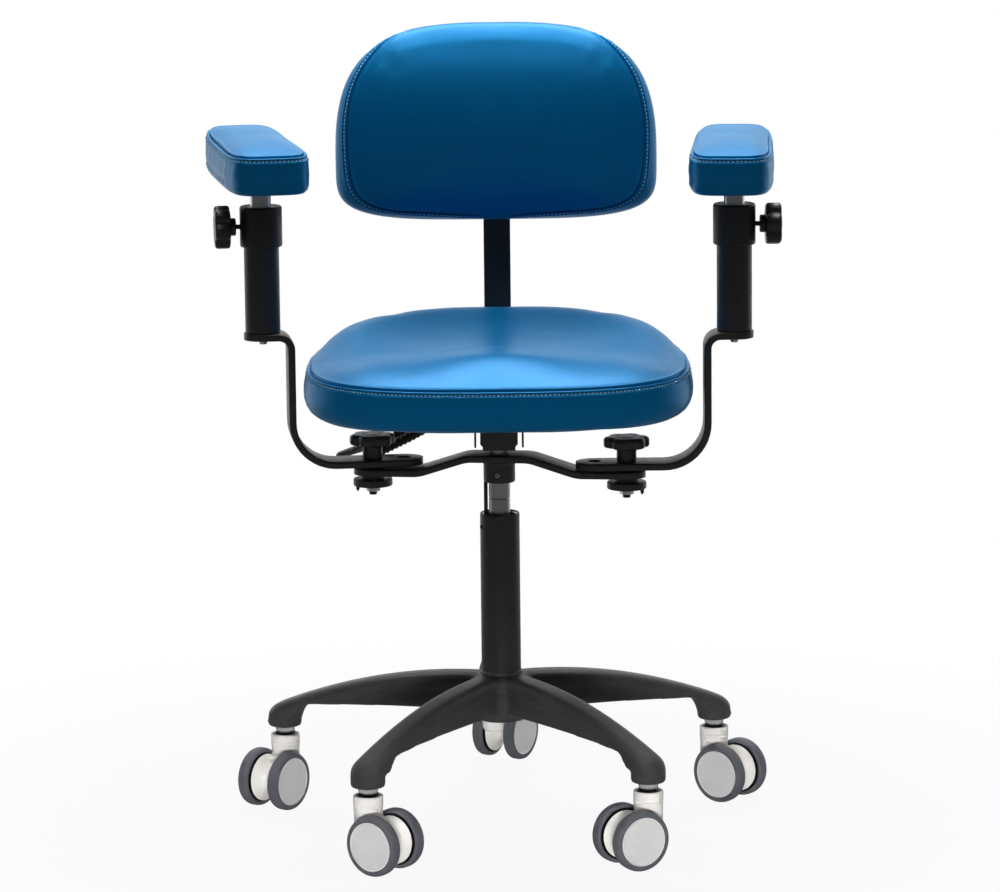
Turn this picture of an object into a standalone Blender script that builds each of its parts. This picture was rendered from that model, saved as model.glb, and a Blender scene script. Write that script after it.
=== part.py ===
"""Laboratory chair: castored five-leg base, gas-spring column, tilting seat, adjustable back and armrests.

Metres, +Z up. The sitter faces -Y. The origin is on the floor, in the middle of the chair's outline box.
Pieces are modelled straight, in the chair's own frame (column axis at x = y = 0), and are carried by
empties on the joint axes. The empties then turn the arms, pads and casters to their rest angles.
"""

import math

import bmesh
import bpy
from mathutils import Matrix, Vector

# Fits
GAP = 0.0003            # between pieces that touch
RUN = 0.0004            # beside pieces that turn on each other

# Place of the column axis, which centres the outline box on the origin
COLUMN_X = 0.0036
COLUMN_Y = -0.0292

# Casters
WHEEL_D = 0.075
WHEEL_THICK = 0.0165
WHEEL_SPACE = 0.031     # between the inner faces of a pair
WHEEL_DISC_D = 0.058
WHEEL_SIDES = 20
AXLE_D = 0.008
AXLE_IN_WHEEL = 0.010
CHEEK_D = 0.062
CHEEK_THICK = 0.0085
WHEEL_ROOM = 0.0012     # between a tyre and the fork's neck
CASTER_TRAIL = 0.026
NECK_D = 0.0365
NECK_RISE = 0.0555      # axle to the top of the neck
NECK_H = 0.048
STEM_D = 0.011
STEM_IN_NECK = 0.030
STEM_IN_LEG = 0.022
STEM_COLLAR_D = 0.025
STEM_COLLAR_H = 0.0095
CASTER_HEADINGS = (235.0, 323.0, 210.0, 321.0, 60.0)   # degrees, wheel side of each caster

# Five-leg base
LEG_COUNT = 5
BASE_REACH = 0.2915     # column axis to caster stem
BASE_TURN = 1.7         # degrees
LEG_WIDTH = 0.041
LEG_SHELL_H = 0.0285    # upper, full-width part of a leg
LEG_WEB_INSET = 0.005
LEG_END_D = 0.043
LEG_END_H = 0.0325
LEG_RISE = 0.053        # leg end to hub, along the top
HUB_D = 0.078
HUB_H = 0.059
HUB_LIP_H = 0.009
HUB_LIP_W = 0.010       # ledge under the column tube

# Column and gas spring
COLUMN_D = 0.050
COLUMN_WALL = 0.0022
COLUMN_LENGTH = 0.257
COLUMN_FLOOR = 0.004
BUSH_LENGTH = 0.090
BUSH_SUNK = 0.072       # below the mouth of the tube
CYLINDER_D = 0.027
CYLINDER_SHOWS = 0.0398  # between the tube and the collar
CYLINDER_IN_TUBE = 0.193
PISTON_D = 0.010
PISTON_LENGTH = 0.220
PISTON_FLANGE_D = 0.018
BEARING_D = 0.030
BEARING_H = 0.005
LIMIT_ROD_D = 0.005
LIMIT_ROD_LENGTH = 0.0513

# Armrest beam and arm bars
BAR_WIDTH = 0.048
BAR_THICK = 0.009
ARM_SPAN = 0.322        # between the swing axes
BEAM_DROP = 0.0192
BEAM_FLAT = 0.080       # level middle stretch
BEAM_BEND_R = 0.050
BEAM_SLOPE = 0.060      # length of each slope
COLLAR_D = 0.040
COLLAR_H = 0.0269
SET_SCREW_D = 0.006
ARM_WASHER_H = 0.0020
ARM_WASHER_D = 0.030
ARM_TAIL = 0.040        # swing axis to the spare hole
ARM_SPARE_D = 0.017
ARM_ROOM = 0.013        # seat cushion to the upright stretch
ARM_RISE = 0.1644       # level stretch to the shelf
ARM_SHELF = 0.034       # upright stretch to the post axis
ARM_BEND_R = 0.055
SHELF_BEND_R = 0.016
BEAM_TURN = -7.0        # degrees, rest angles of the beam, arms and pads
LEFT_SWING = 14.0
RIGHT_SWING = 7.0
LEFT_PAD_TURN = 4.0
RIGHT_PAD_TURN = -4.0
LEFT_PAD_DROP = 0.0     # rest heights of the pads
RIGHT_PAD_DROP = 0.003

# Arm clamp
CLAMP_BOLT_D = 0.010
CLAMP_KNOB_D = 0.058
CLAMP_KNOB_H = 0.014
CLAMP_HUB_D = 0.025
CLAMP_HUB_H = 0.017
CLAMP_DISC_D = 0.0496
CLAMP_DISC_H = 0.009
CLAMP_BOSS_D = 0.030
CLAMP_BOSS_H = 0.0053
CLAMP_PIN_D = 0.005
CLAMP_PIN_DROP = 0.008
CLAMP_NUT_D = 0.021
CLAMP_NUT_H = 0.0035
CLAMP_HEX_D = 0.016
CLAMP_HEX_H = 0.004
CLAMP_BOLT_END = 0.004
KNOB_LOBES = 6
LOBE_DEPTH = 0.0035

# Arm posts and pads
POST_D = 0.044
POST_H = 0.108
POST_COLLAR_D = 0.053
POST_COLLAR_H = 0.051
POST_STUD_D = 0.010
POST_STUD_SHOWS = 0.006
POST_WALL = 0.0037      # round the bush
STEM_TUBE_D = 0.026
STEM_TUBE_SHOWS = 0.0252
STEM_TUBE_IN_POST = 0.125
POST_BUSH_H = 0.055
ARM_KNOB_D = 0.054
ARM_KNOB_H = 0.0205
ARM_KNOB_HUB_D = 0.022
ARM_KNOB_HUB_H = 0.007
ARM_KNOB_GAP = 0.005    # bare stud between hub and collar
ARM_STUD_D = 0.006
PAD_PLATE_H = 0.004
PAD_PLATE_W = 0.060
PAD_PLATE_L = 0.180
PAD_W = 0.102           # at half its length
PAD_TAPER = 0.014       # wider at the front end than at the rear
PAD_L = 0.325
PAD_SHIFT = 0.014       # middle of the pad behind the post
PAD_WALL_H = 0.046
PAD_CROWN = 0.010
PAD_REAR_RISE = 0.007

# Seat mechanism
HOUSING_W = 0.047
HOUSING_H = 0.0234
HOUSING_WALL = 0.003
HOUSING_FRONT = 0.065
HOUSING_BACK = 0.118
HOUSING_LIFT = 0.0155   # beam to housing
HOUSING_FLOOR_BACK = 0.080
SOCKET_D = 0.037
SOCKET_H = 0.011
TAPER = 0.001
VALVE_D = 0.008
VALVE_H = 0.005
SEAT_PIN_Y = 0.028
PIVOT_Z_IN_HOUSING = 0.016
LEVER_Z_IN_HOUSING = 0.0132
PIN_D = 0.008
BRACKET_W = 0.0625
BRACKET_SHEET = 0.0025
BRACKET_TILT_ROOM = 0.0085
BRACKET_PLATE_W = 0.160
BRACKET_PLATE_L = 0.080
BRACKET_EAR_L = 0.050
BRACKET_EAR_DROP = 0.041
LEVER_D = 0.008
LEVER_GRIP_D = 0.0137
LEVER_BEND_R = 0.030
LEVER_NECK = 0.016      # bare rod between the bend and the grip
HEIGHT_LEVER_Y = 0.066
HEIGHT_LEVER_RUN = 0.052    # level stretch beside the housing
HEIGHT_LEVER_SLOPE = 0.48   # fall of the grip per unit of reach
HEIGHT_LEVER_REACH = 0.155
TILT_LEVER_Y = 0.092
TILT_LEVER_RUN = 0.042
TILT_LEVER_SLOPE = 0.33
TILT_LEVER_REACH = 0.205

# Seat
SEAT_W = 0.490
SEAT_D = 0.430
SEAT_BOARD_W = 0.340
SEAT_BOARD_D = 0.280
SEAT_BOARD_H = 0.010
SEAT_WALL_H = 0.062
SEAT_CROWN = 0.010
SEAT_REAR_RISE = 0.026
SEAT_POMMEL = 0.018
SEAT_CENTRE_Y = 0.004

# Back
UPRIGHT_W = 0.035
UPRIGHT_T = 0.006
UPRIGHT_Y = 0.283
UPRIGHT_TOP = 0.437     # above the back pivot
UPRIGHT_DROP = 0.016
UPRIGHT_KNEE = 0.045    # back pivot to the bottom of the first slope
UPRIGHT_KNEE_R = 0.030
UPRIGHT_CORNER_R = 0.045
UPRIGHT_EYE_D = 0.017
BACK_PIN_Y = 0.103
BACK_LIFT = 0.2335      # back pivot to the lower edge of the back cushion
BACK_W = 0.422
BACK_UPPER_H = 0.1845   # widest level to the top
BACK_LOWER_H = 0.0735   # widest level to the bottom
BACK_WALL = 0.048
BACK_CROWN = 0.033
BACK_SHELL_T = 0.010
BACK_SHELL_SHARE = 0.90
SLEEVE_WALL = 0.004
SLEEVE_H = 0.100
SLEEVE_LIFT = 0.060     # lower edge of the cushion to the sleeve
BACK_KNOB_D = 0.046
BACK_KNOB_H = 0.016
BACK_KNOB_HUB_H = 0.012
BACK_STUD_D = 0.008

# Levels that follow from the sizes
WHEEL_R = WHEEL_D / 2
AXLE_Z = WHEEL_R * math.cos(math.pi / WHEEL_SIDES)
NECK_TOP = AXLE_Z + NECK_RISE
LEG_FOOT = NECK_TOP + STEM_COLLAR_H + 2 * GAP
LEG_END_TOP = LEG_FOOT + LEG_END_H
HUB_TOP = LEG_END_TOP + LEG_RISE
HUB_FOOT = HUB_TOP - HUB_H
COLUMN_FOOT = HUB_FOOT + HUB_LIP_H + GAP
COLUMN_MOUTH = COLUMN_FOOT + COLUMN_LENGTH
COLLAR_FOOT = COLUMN_MOUTH + CYLINDER_SHOWS
BEAM_FOOT = COLLAR_FOOT + COLLAR_H
BEAM_TOP = BEAM_FOOT + BAR_THICK
BEAM_END_FOOT = BEAM_FOOT - BEAM_DROP
BEAM_END_TOP = BEAM_END_FOOT + BAR_THICK
ARM_FOOT = BEAM_END_TOP + GAP + ARM_WASHER_H
ARM_TOP = ARM_FOOT + BAR_THICK
SHELF_TOP = ARM_TOP + ARM_RISE
POST_FOOT = SHELF_TOP + GAP
POST_COLLAR_FOOT = POST_FOOT + POST_H
POST_TOP = POST_COLLAR_FOOT + POST_COLLAR_H
PLATE_FOOT = POST_TOP + STEM_TUBE_SHOWS
PAD_FOOT = PLATE_FOOT + PAD_PLATE_H + GAP
ARM_KNOB_Z = POST_TOP - POST_COLLAR_H / 2
HOUSING_FOOT = BEAM_TOP + HOUSING_LIFT
HOUSING_TOP = HOUSING_FOOT + HOUSING_H
PIVOT_Z = HOUSING_FOOT + PIVOT_Z_IN_HOUSING
LEVER_Z = HOUSING_FOOT + LEVER_Z_IN_HOUSING
CYLINDER_TOP = HOUSING_FOOT + HOUSING_WALL + SOCKET_H
CYLINDER_FOOT = COLUMN_MOUTH - CYLINDER_IN_TUBE
BRACKET_FOOT = HOUSING_TOP + BRACKET_TILT_ROOM
BRACKET_TOP = BRACKET_FOOT + BRACKET_SHEET
BOARD_FOOT = BRACKET_TOP + GAP
SEAT_FOOT = BOARD_FOOT + SEAT_BOARD_H + GAP
SEAT_SEAM = SEAT_FOOT + SEAT_WALL_H
BACK_FOOT = PIVOT_Z + BACK_LIFT
BACK_WIDEST = BACK_FOOT + BACK_LOWER_H
SLEEVE_FOOT = BACK_FOOT + SLEEVE_LIFT
SLEEVE_FRONT = UPRIGHT_Y - UPRIGHT_T / 2 - GAP - SLEEVE_WALL
SLEEVE_REAR = UPRIGHT_Y + UPRIGHT_T / 2 + GAP + SLEEVE_WALL
SHELL_REAR = SLEEVE_FRONT - GAP
BACK_REAR = SHELL_REAR - BACK_SHELL_T - GAP
BACK_KNOB_Z = SLEEVE_FOOT + SLEEVE_H / 2
ARM_X = ARM_SPAN / 2
ARM_UPRIGHT_X = SEAT_W / 2 + ARM_ROOM + BAR_THICK / 2
POST_X = ARM_UPRIGHT_X + ARM_SHELF
BAR_R = BAR_WIDTH / 2
BORE_R = CYLINDER_D / 2 + GAP
BUSH_R = COLUMN_D / 2 - COLUMN_WALL - GAP
POST_BUSH_R = POST_D / 2 - POST_WALL
CLAMP_HOLE_D = CLAMP_BOLT_D + 2 * GAP


# Scene and materials

def clear_scene():
    for obj in list(bpy.data.objects):
        bpy.data.objects.remove(obj, do_unlink=True)


def new_collection(name):
    collection = bpy.data.collections.new(name)
    bpy.context.scene.collection.children.link(collection)
    return collection


def material(name, colour, roughness, metallic=0.0):
    made = bpy.data.materials.new(name)
    made.use_nodes = True
    shader = made.node_tree.nodes["Principled BSDF"]
    shader.inputs["Base Color"].default_value = (*colour, 1.0)
    shader.inputs["Roughness"].default_value = roughness
    shader.inputs["Metallic"].default_value = metallic
    return made


# Joint axes and pieces

class Axis:
    """An empty on a joint axis, with its place in the chair's straight frame."""

    def __init__(self, name, place, parent=None):
        self.place = Vector(place)
        self.empty = bpy.data.objects.new(name, None)
        self.empty.empty_display_size = 0.03
        PARTS.objects.link(self.empty)
        if parent:
            self.empty.parent = parent.empty
            self.empty.location = self.place - parent.place
        else:
            self.empty.location = self.place

    def carry(self, obj, place=(0.0, 0.0, 0.0)):
        """Hang a piece on this axis, with its mesh origin at a place in the chair's straight frame."""
        obj.parent = self.empty
        obj.location = Vector(place) - self.place
        return obj


def piece(name, mesh, look):
    """Make a mesh into one named piece."""
    obj = bpy.data.objects.new(name, mesh)
    mesh.materials.clear()
    mesh.materials.append(look)
    mesh.shade_smooth()
    mesh.set_sharp_from_angle(angle=math.radians(32))
    PARTS.objects.link(obj)
    return obj


def evaluated_mesh(obj):
    """The mesh of an object with its modifiers, welded where a curve's caps are loose."""
    bpy.context.view_layer.update()
    graph = bpy.context.evaluated_depsgraph_get()
    mesh = bpy.data.meshes.new_from_object(obj.evaluated_get(graph))
    bm = bmesh.new()
    bm.from_mesh(mesh)
    bmesh.ops.remove_doubles(bm, verts=bm.verts, dist=1e-6)
    bm.to_mesh(mesh)
    bm.free()
    return mesh


def taken_mesh(obj):
    """The evaluated mesh of a working object, which is then removed."""
    mesh = evaluated_mesh(obj)
    bpy.data.objects.remove(obj, do_unlink=True)
    return mesh


def working(name, data):
    obj = bpy.data.objects.new(name, data)
    bpy.context.scene.collection.objects.link(obj)
    return obj


def turned(profile, steps, closed=False):
    """A mesh turned about Z from (radius, height) points that run down the outer side."""
    mesh = bpy.data.meshes.new("profile")
    edges = [(i, i + 1) for i in range(len(profile) - 1)]
    if closed:
        edges.append((len(profile) - 1, 0))
    mesh.from_pydata([(radius, 0.0, height) for radius, height in profile], edges, [])
    obj = working("turned", mesh)
    screw = obj.modifiers.new("Screw", "SCREW")
    screw.steps = steps
    screw.render_steps = steps
    screw.use_merge_vertices = True
    screw.merge_threshold = 0.00005
    screw.use_normal_calculate = not closed
    made = taken_mesh(obj)
    bm = bmesh.new()
    bm.from_mesh(made)
    bmesh.ops.recalc_face_normals(bm, faces=bm.faces)
    bm.to_mesh(made)
    bm.free()
    return made


def ring(outer_d, inner_d, foot, top, steps):
    """A plain ring about Z."""
    outer = outer_d / 2
    inner = inner_d / 2
    return turned([(outer, top), (outer, foot), (inner, foot), (inner, top)], steps, closed=True)


def rod(diameter, foot, top, steps=16):
    """A plain round bar along Z."""
    bm = bmesh.new()
    place = Matrix.Translation((0.0, 0.0, (foot + top) / 2))
    bmesh.ops.create_cone(bm, cap_ends=True, segments=steps, radius1=diameter / 2,
                          radius2=diameter / 2, depth=top - foot, matrix=place)
    mesh = bpy.data.meshes.new("rod")
    bm.to_mesh(mesh)
    bm.free()
    return mesh


def block(low, high):
    """A box between two corners."""
    bm = bmesh.new()
    low = Vector(low)
    high = Vector(high)
    size = high - low
    place = Matrix.Translation((low + high) / 2) @ Matrix.Diagonal((*size, 1.0))
    bmesh.ops.create_cube(bm, size=1.0, matrix=place)
    mesh = bpy.data.meshes.new("block")
    bm.to_mesh(mesh)
    bm.free()
    return mesh


def slab(outline, half_thickness, edge=0.0):
    """A flat outline in XY with a thickness along Z and a rounded edge."""
    curve = bpy.data.curves.new("outline", "CURVE")
    curve.dimensions = "2D"
    curve.fill_mode = "BOTH"
    curve.extrude = half_thickness - edge
    curve.bevel_depth = edge
    curve.bevel_resolution = 0
    curve.offset = -edge
    spline = curve.splines.new("POLY")
    spline.points.add(len(outline) - 1)
    for point, (x, y) in zip(spline.points, outline):
        point.co = (x, y, 0.0, 1.0)
    spline.use_cyclic_u = True
    return taken_mesh(working("slab", curve))


def wire(points, diameter):
    """A round bar along a path."""
    curve = bpy.data.curves.new("wire", "CURVE")
    curve.dimensions = "3D"
    curve.bevel_depth = diameter / 2
    curve.bevel_resolution = 2
    curve.use_fill_caps = True
    spline = curve.splines.new("POLY")
    spline.points.add(len(points) - 1)
    for point, place in zip(spline.points, points):
        point.co = (*place, 1.0)
    return taken_mesh(working("wire", curve))


def moved(mesh, matrix):
    mesh.transform(matrix)
    return mesh


def at(x, y, z):
    return Matrix.Translation((x, y, z))


def turn(degrees, axis):
    return Matrix.Rotation(math.radians(degrees), 4, axis)


def fused(main, joined=(), cut=()):
    """One mesh from a main mesh, meshes joined to it and meshes then cut out of it."""
    body = working("body", main)
    tools = []
    for operation, meshes in (("UNION", joined), ("DIFFERENCE", cut)):
        for mesh in meshes:
            tool = working("tool", mesh)
            change = body.modifiers.new(operation, "BOOLEAN")
            change.operation = operation
            change.solver = "EXACT"
            change.object = tool
            tools.append(tool)
    made = taken_mesh(body)
    for tool in tools:
        bpy.data.objects.remove(tool, do_unlink=True)
    return made


# Outlines

def arc_path(corners, radii, steps=6):
    """A path through corner points, with an arc of the given radius at each inner corner."""
    path = [Vector(corners[0])]
    for before, corner, after, radius in zip(corners, corners[1:], corners[2:], radii):
        corner = Vector(corner)
        back = (Vector(before) - corner).normalized()
        ahead = (Vector(after) - corner).normalized()
        half = back.angle(ahead) / 2
        reach = radius / math.tan(half)
        centre = corner + (back + ahead).normalized() * radius / math.sin(half)
        start = corner + back * reach - centre
        sweep = (corner + ahead * reach - centre).angle_signed(start)
        for i in range(steps + 1):
            angle = sweep * i / steps
            spoke = Vector((start.x * math.cos(angle) - start.y * math.sin(angle),
                            start.x * math.sin(angle) + start.y * math.cos(angle)))
            path.append(centre + spoke)
    path.append(Vector(corners[-1]))
    return path


def strip_outline(path, thickness):
    """The closed outline of a strip that follows a path."""
    sides = ([], [])
    for i, point in enumerate(path):
        ahead = path[min(i + 1, len(path) - 1)] - point
        behind = point - path[max(i - 1, 0)]
        along = (ahead.normalized() + behind.normalized()).normalized()
        if i in (0, len(path) - 1):
            along = (ahead + behind).normalized()
        normal = Vector((-along.y, along.x))
        sides[0].append(point + normal * thickness / 2)
        sides[1].append(point - normal * thickness / 2)
    return sides[0] + sides[1][::-1]


def star_outline(diameter, lobes, depth):
    """A knob's outline with soft lobes."""
    count = lobes * 4
    middle = diameter / 2 - depth / 2
    points = []
    for i in range(count):
        angle = 2 * math.pi * i / count
        radius = middle + depth / 2 * math.cos(lobes * angle)
        points.append((radius * math.cos(angle), radius * math.sin(angle)))
    return points


def superellipse(angle, half_x, half_y, power):
    """Distance from the middle to a rounded-rectangle outline, in a direction."""
    x = abs(math.cos(angle)) / half_x
    y = abs(math.sin(angle)) / half_y
    return (x ** power + y ** power) ** (-1 / power)


def superellipse_outline(half_x, half_y, power, count):
    points = []
    for i in range(count):
        angle = 2 * math.pi * i / count
        radius = superellipse(angle, half_x, half_y, power)
        points.append((radius * math.cos(angle), radius * math.sin(angle)))
    return points


# Upholstery

def rounded_point(turn, half_x, half_y, power):
    """A point on a rounded-rectangle outline, laid so that the corners get as many points as the sides."""
    radius = superellipse(turn, 1.0, 1.0, power)
    return radius * half_x * math.cos(turn), radius * half_y * math.sin(turn)


def cushion(outline, wall, top, sides, top_rings, segments):
    """A closed cushion from a sphere whose rings are laid on a top, down a wall and under a flat base.

    outline(turn) is a point of the plan outline, top(x, y, share) the height over the base at a share of
    the way to it, and sides lists (share of the way, share of the wall height) from the seam to the base.
    """
    rings = top_rings + len(sides)
    bm = bmesh.new()
    bmesh.ops.create_uvsphere(bm, u_segments=segments, v_segments=rings, radius=1.0)
    seam_share = sides[0][0]
    for vert in bm.verts:
        ring_index = round(math.acos(max(-1.0, min(1.0, vert.co.z))) / math.pi * rings)
        angle = math.atan2(vert.co.y, vert.co.x)
        if ring_index <= top_rings:
            share = seam_share * (ring_index / (top_rings + 1)) ** 0.85
        else:
            share, level = sides[ring_index - top_rings - 1]
        edge_x, edge_y = outline(angle)
        x = edge_x * share
        y = edge_y * share
        if ring_index <= top_rings:
            vert.co = (x, y, top(x, y, share / seam_share))
        else:
            vert.co = (x, y, wall * level)
    bmesh.ops.recalc_face_normals(bm, faces=bm.faces)
    mesh = bpy.data.meshes.new("cushion")
    bm.to_mesh(mesh)
    bm.free()
    return mesh


SEAT_SIDES = ((0.965, 1.0), (0.987, 0.80), (1.0, 0.52), (0.992, 0.27), (0.955, 0.06), (0.89, -0.02), (0.82, 0.0),
              (0.41, 0.0), (0.0, 0.0))
BACK_SIDES = ((0.965, 1.0), (0.987, 0.80), (1.0, 0.52), (0.992, 0.27), (0.972, 0.08), (0.945, 0.0), (0.82, 0.0),
              (0.41, 0.0), (0.0, 0.0))
PAD_SIDES = ((0.955, 1.0), (0.995, 0.86), (1.0, 0.45), (0.985, 0.10), (0.93, 0.0), (0.50, 0.0), (0.0, 0.0))


def bump(value, centre, width):
    return math.exp(-(((value - centre) / width) ** 2))


def seat_mesh():
    """Saddle seat: raised rear rim, pelvic bowl, thigh channels and a middle ridge at the front."""
    half_x = SEAT_W / 2
    half_y = SEAT_D / 2

    def top(x, y, share):
        across = x / half_x
        along = y / half_y
        crown = SEAT_CROWN * (1 - share ** 4)
        rear = SEAT_REAR_RISE * max(0.0, along) ** 1.5 * (1 - share ** 8) * 1.9
        ridge = SEAT_POMMEL * bump(across, 0.0, 0.30) * bump(along, -0.62, 0.38)
        rims = SEAT_CROWN * 0.6 * bump(abs(across), 0.80, 0.22) * (1 - share ** 8)
        return SEAT_WALL_H + crown + rear + ridge + rims

    def outline(turn):
        return rounded_point(turn, half_x, half_y, 3.0)

    return cushion(outline, SEAT_WALL_H, top, SEAT_SIDES, 8, 32)


def back_mesh():
    """Back cushion, built lying on its rear face, with its widest level at y = 0."""
    half_x = BACK_W / 2

    def top(x, y, share):
        return BACK_WALL + BACK_CROWN * (1 - share ** 2.6)

    def outline(turn):
        if math.sin(turn) >= 0:
            return rounded_point(turn, half_x, BACK_UPPER_H, 3.3)
        return rounded_point(turn, half_x, BACK_LOWER_H, 4.2)

    return cushion(outline, BACK_WALL, top, BACK_SIDES, 7, 32)


def pad_mesh():
    """Armrest pad, a little wider at its front end and thicker at its rear end."""
    def top(x, y, share):
        return PAD_WALL_H + PAD_CROWN * (1 - share ** 3) + PAD_REAR_RISE * (0.5 + y / PAD_L)

    def outline(turn):
        x, y = rounded_point(turn, PAD_W / 2, PAD_L / 2, 4.5)
        return x * (1 - PAD_TAPER / PAD_W * 2 * y / PAD_L), y

    return cushion(outline, PAD_WALL_H, top, PAD_SIDES, 4, 24)


# Base

def leg_section(reach):
    """The outline of a leg across its length, as (sideways, height) points."""
    start = HUB_D / 2 - LEG_WIDTH / 4
    along = (reach - start) / (BASE_REACH - start)
    top = HUB_TOP - LEG_RISE * along ** 2
    under_along = max(0.0, (reach - 2 * start) / (BASE_REACH - 2 * start))
    web_foot = HUB_FOOT + (HUB_H - LEG_SHELL_H) * 0.4
    foot = web_foot - (web_foot - LEG_FOOT - 2 * GAP) * under_along ** 3.6
    parting = max(top - LEG_SHELL_H, foot + 0.0015)
    half = LEG_WIDTH / 2
    web = half - LEG_WEB_INSET
    right = [(web, foot), (web, parting), (half, parting), (half, top - 0.008), (0.55 * half, top)]
    return right + [(-side, height) for side, height in reversed(right)]


def leg_mesh():
    """One leg along +X, lofted between its changing sections, ending inside its end block."""
    stations = 7
    start = HUB_D / 2 - LEG_WIDTH / 4
    end = BASE_REACH - LEG_END_D * 0.3
    bm = bmesh.new()
    loops = []
    for i in range(stations):
        reach = start + (end - start) * i / (stations - 1)
        loops.append([bm.verts.new((reach, side, height)) for side, height in leg_section(reach)])
    for near, far in zip(loops, loops[1:]):
        for i in range(len(near)):
            following = (i + 1) % len(near)
            bm.faces.new((near[i], near[following], far[following], far[i]))
    bm.faces.new(loops[0][::-1])
    bm.faces.new(loops[-1])
    bmesh.ops.recalc_face_normals(bm, faces=bm.faces)
    mesh = bpy.data.meshes.new("leg")
    bm.to_mesh(mesh)
    bm.free()
    return mesh


def leg_end_mesh():
    radius = LEG_END_D / 2
    profile = [(0.0, LEG_END_TOP + 0.0012), (0.55 * radius, LEG_END_TOP - 0.001),
               (0.87 * radius, LEG_END_TOP - 0.0075), (radius, LEG_END_TOP - 0.017),
               (radius, LEG_FOOT), (0.0, LEG_FOOT)]
    return moved(turned(profile, 13), at(BASE_REACH, 0.0, 0.0))


def leg_angle(index):
    return 162.0 + BASE_TURN + 360.0 / LEG_COUNT * index


def base_star():
    outer = HUB_D / 2
    bore = COLUMN_D / 2 + GAP
    lip = COLUMN_D / 2 - HUB_LIP_W
    profile = [(outer - 0.004, HUB_TOP), (outer, HUB_TOP - 0.004), (outer, HUB_FOOT + 0.018),
               (lip + 0.010, HUB_FOOT + 0.004), (lip + 0.005, HUB_FOOT), (lip, HUB_FOOT),
               (lip, HUB_FOOT + HUB_LIP_H), (bore, HUB_FOOT + HUB_LIP_H), (bore, HUB_TOP)]
    hub = turned(profile, 25, closed=True)
    joined = []
    holes = []
    for index in range(LEG_COUNT):
        place = turn(leg_angle(index), "Z")
        joined.append(moved(leg_mesh(), place))
        joined.append(moved(leg_end_mesh(), place))
        hole = rod(STEM_D + 2 * GAP, LEG_FOOT - 0.005, LEG_FOOT + STEM_IN_LEG + GAP, 10)
        holes.append(moved(hole, place @ at(BASE_REACH, 0.0, 0.0)))
    CHAIR.carry(piece("base_star", fused(hub, joined, holes), BLACK_NYLON))


def caster_stem_mesh():
    pin = STEM_D / 2
    collar = STEM_COLLAR_D / 2
    foot = NECK_TOP + GAP
    top = foot + STEM_COLLAR_H
    profile = [(0.0, LEG_FOOT + STEM_IN_LEG), (pin, LEG_FOOT + STEM_IN_LEG), (pin, top), (collar, top),
               (collar, foot), (pin, foot), (pin, NECK_TOP - STEM_IN_NECK), (0.0, NECK_TOP - STEM_IN_NECK)]
    return turned(profile, 10)


def caster_fork_mesh():
    """Neck, two round cheeks and a bridge, hollowed for the tyres, with its stub axles along Y."""
    inner_face = WHEEL_SPACE / 2
    cheek_out = inner_face - RUN
    cheek_in = cheek_out - CHEEK_THICK
    bridge_half = cheek_out - CHEEK_THICK / 2
    neck_face = inner_face - RUN / 2
    across = at(CASTER_TRAIL, 0.0, AXLE_Z) @ turn(90, "X")
    neck = rod(NECK_D, NECK_TOP - NECK_H, NECK_TOP, 16)
    cheeks = [moved(rod(CHEEK_D, low, high, 18), across)
              for low, high in ((cheek_in, cheek_out), (-cheek_out, -cheek_in))]
    bridge = block((-NECK_D / 4, -bridge_half, AXLE_Z + AXLE_D), (CASTER_TRAIL - 0.004, bridge_half, AXLE_Z + 0.024))
    tyre_room = WHEEL_D + 2 * WHEEL_ROOM
    rooms = [moved(rod(tyre_room, low, high, 24), across)
             for low, high in ((neck_face, WHEEL_D), (-WHEEL_D, -neck_face))]
    bore = rod(STEM_D + 2 * RUN, NECK_TOP - STEM_IN_NECK - GAP, NECK_TOP + 0.005, 10)
    shape = fused(neck, cheeks + [bridge], rooms + [bore])
    axle_half = inner_face + AXLE_IN_WHEEL
    axle = moved(rod(AXLE_D, -axle_half, axle_half, 10), across)
    return fused(shape, [axle])


def wheel_mesh():
    """A wheel about Z with its covered outer face up and a blind bore for the stub axle."""
    half = WHEEL_THICK / 2
    disc = WHEEL_DISC_D / 2
    bore = AXLE_D / 2 + RUN
    bore_end = -half + AXLE_IN_WHEEL + RUN
    profile = [(0.0, half - 0.0018), (disc, half - 0.0018), (WHEEL_R - 0.0050, half),
               (WHEEL_R, half * 0.45), (WHEEL_R, -half * 0.45), (WHEEL_R - 0.0050, -half), (bore, -half),
               (bore, bore_end), (0.0, bore_end)]
    return moved(turned(profile, WHEEL_SIDES), turn(90 + 180.0 / WHEEL_SIDES, "Z"))


def casters():
    stem = caster_stem_mesh()
    fork = caster_fork_mesh()
    wheel = wheel_mesh()
    wheel_out = WHEEL_SPACE / 2 + WHEEL_THICK / 2
    for index in range(LEG_COUNT):
        name = f"caster_{index + 1}"
        angle = math.radians(leg_angle(index))
        foot = Vector((BASE_REACH * math.cos(angle), BASE_REACH * math.sin(angle), 0.0))
        CHAIR.carry(piece(f"{name}_stem", stem.copy(), STEEL), foot)
        swivel = Axis(f"{name}_swivel", foot, CHAIR)
        swivel.carry(piece(f"{name}_fork", fork.copy(), WHITE_PLASTIC), foot)
        for side, sign in (("left", 1), ("right", -1)):
            hub = foot + Vector((CASTER_TRAIL, sign * wheel_out, AXLE_Z))
            obj = swivel.carry(piece(f"{name}_{side}_wheel", wheel.copy(), TYRE), hub)
            obj.rotation_euler = (math.radians(-90 * sign), 0.0, 0.0)
        swivel.empty.rotation_euler.z = math.radians(CASTER_HEADINGS[index])


# Column

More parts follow.
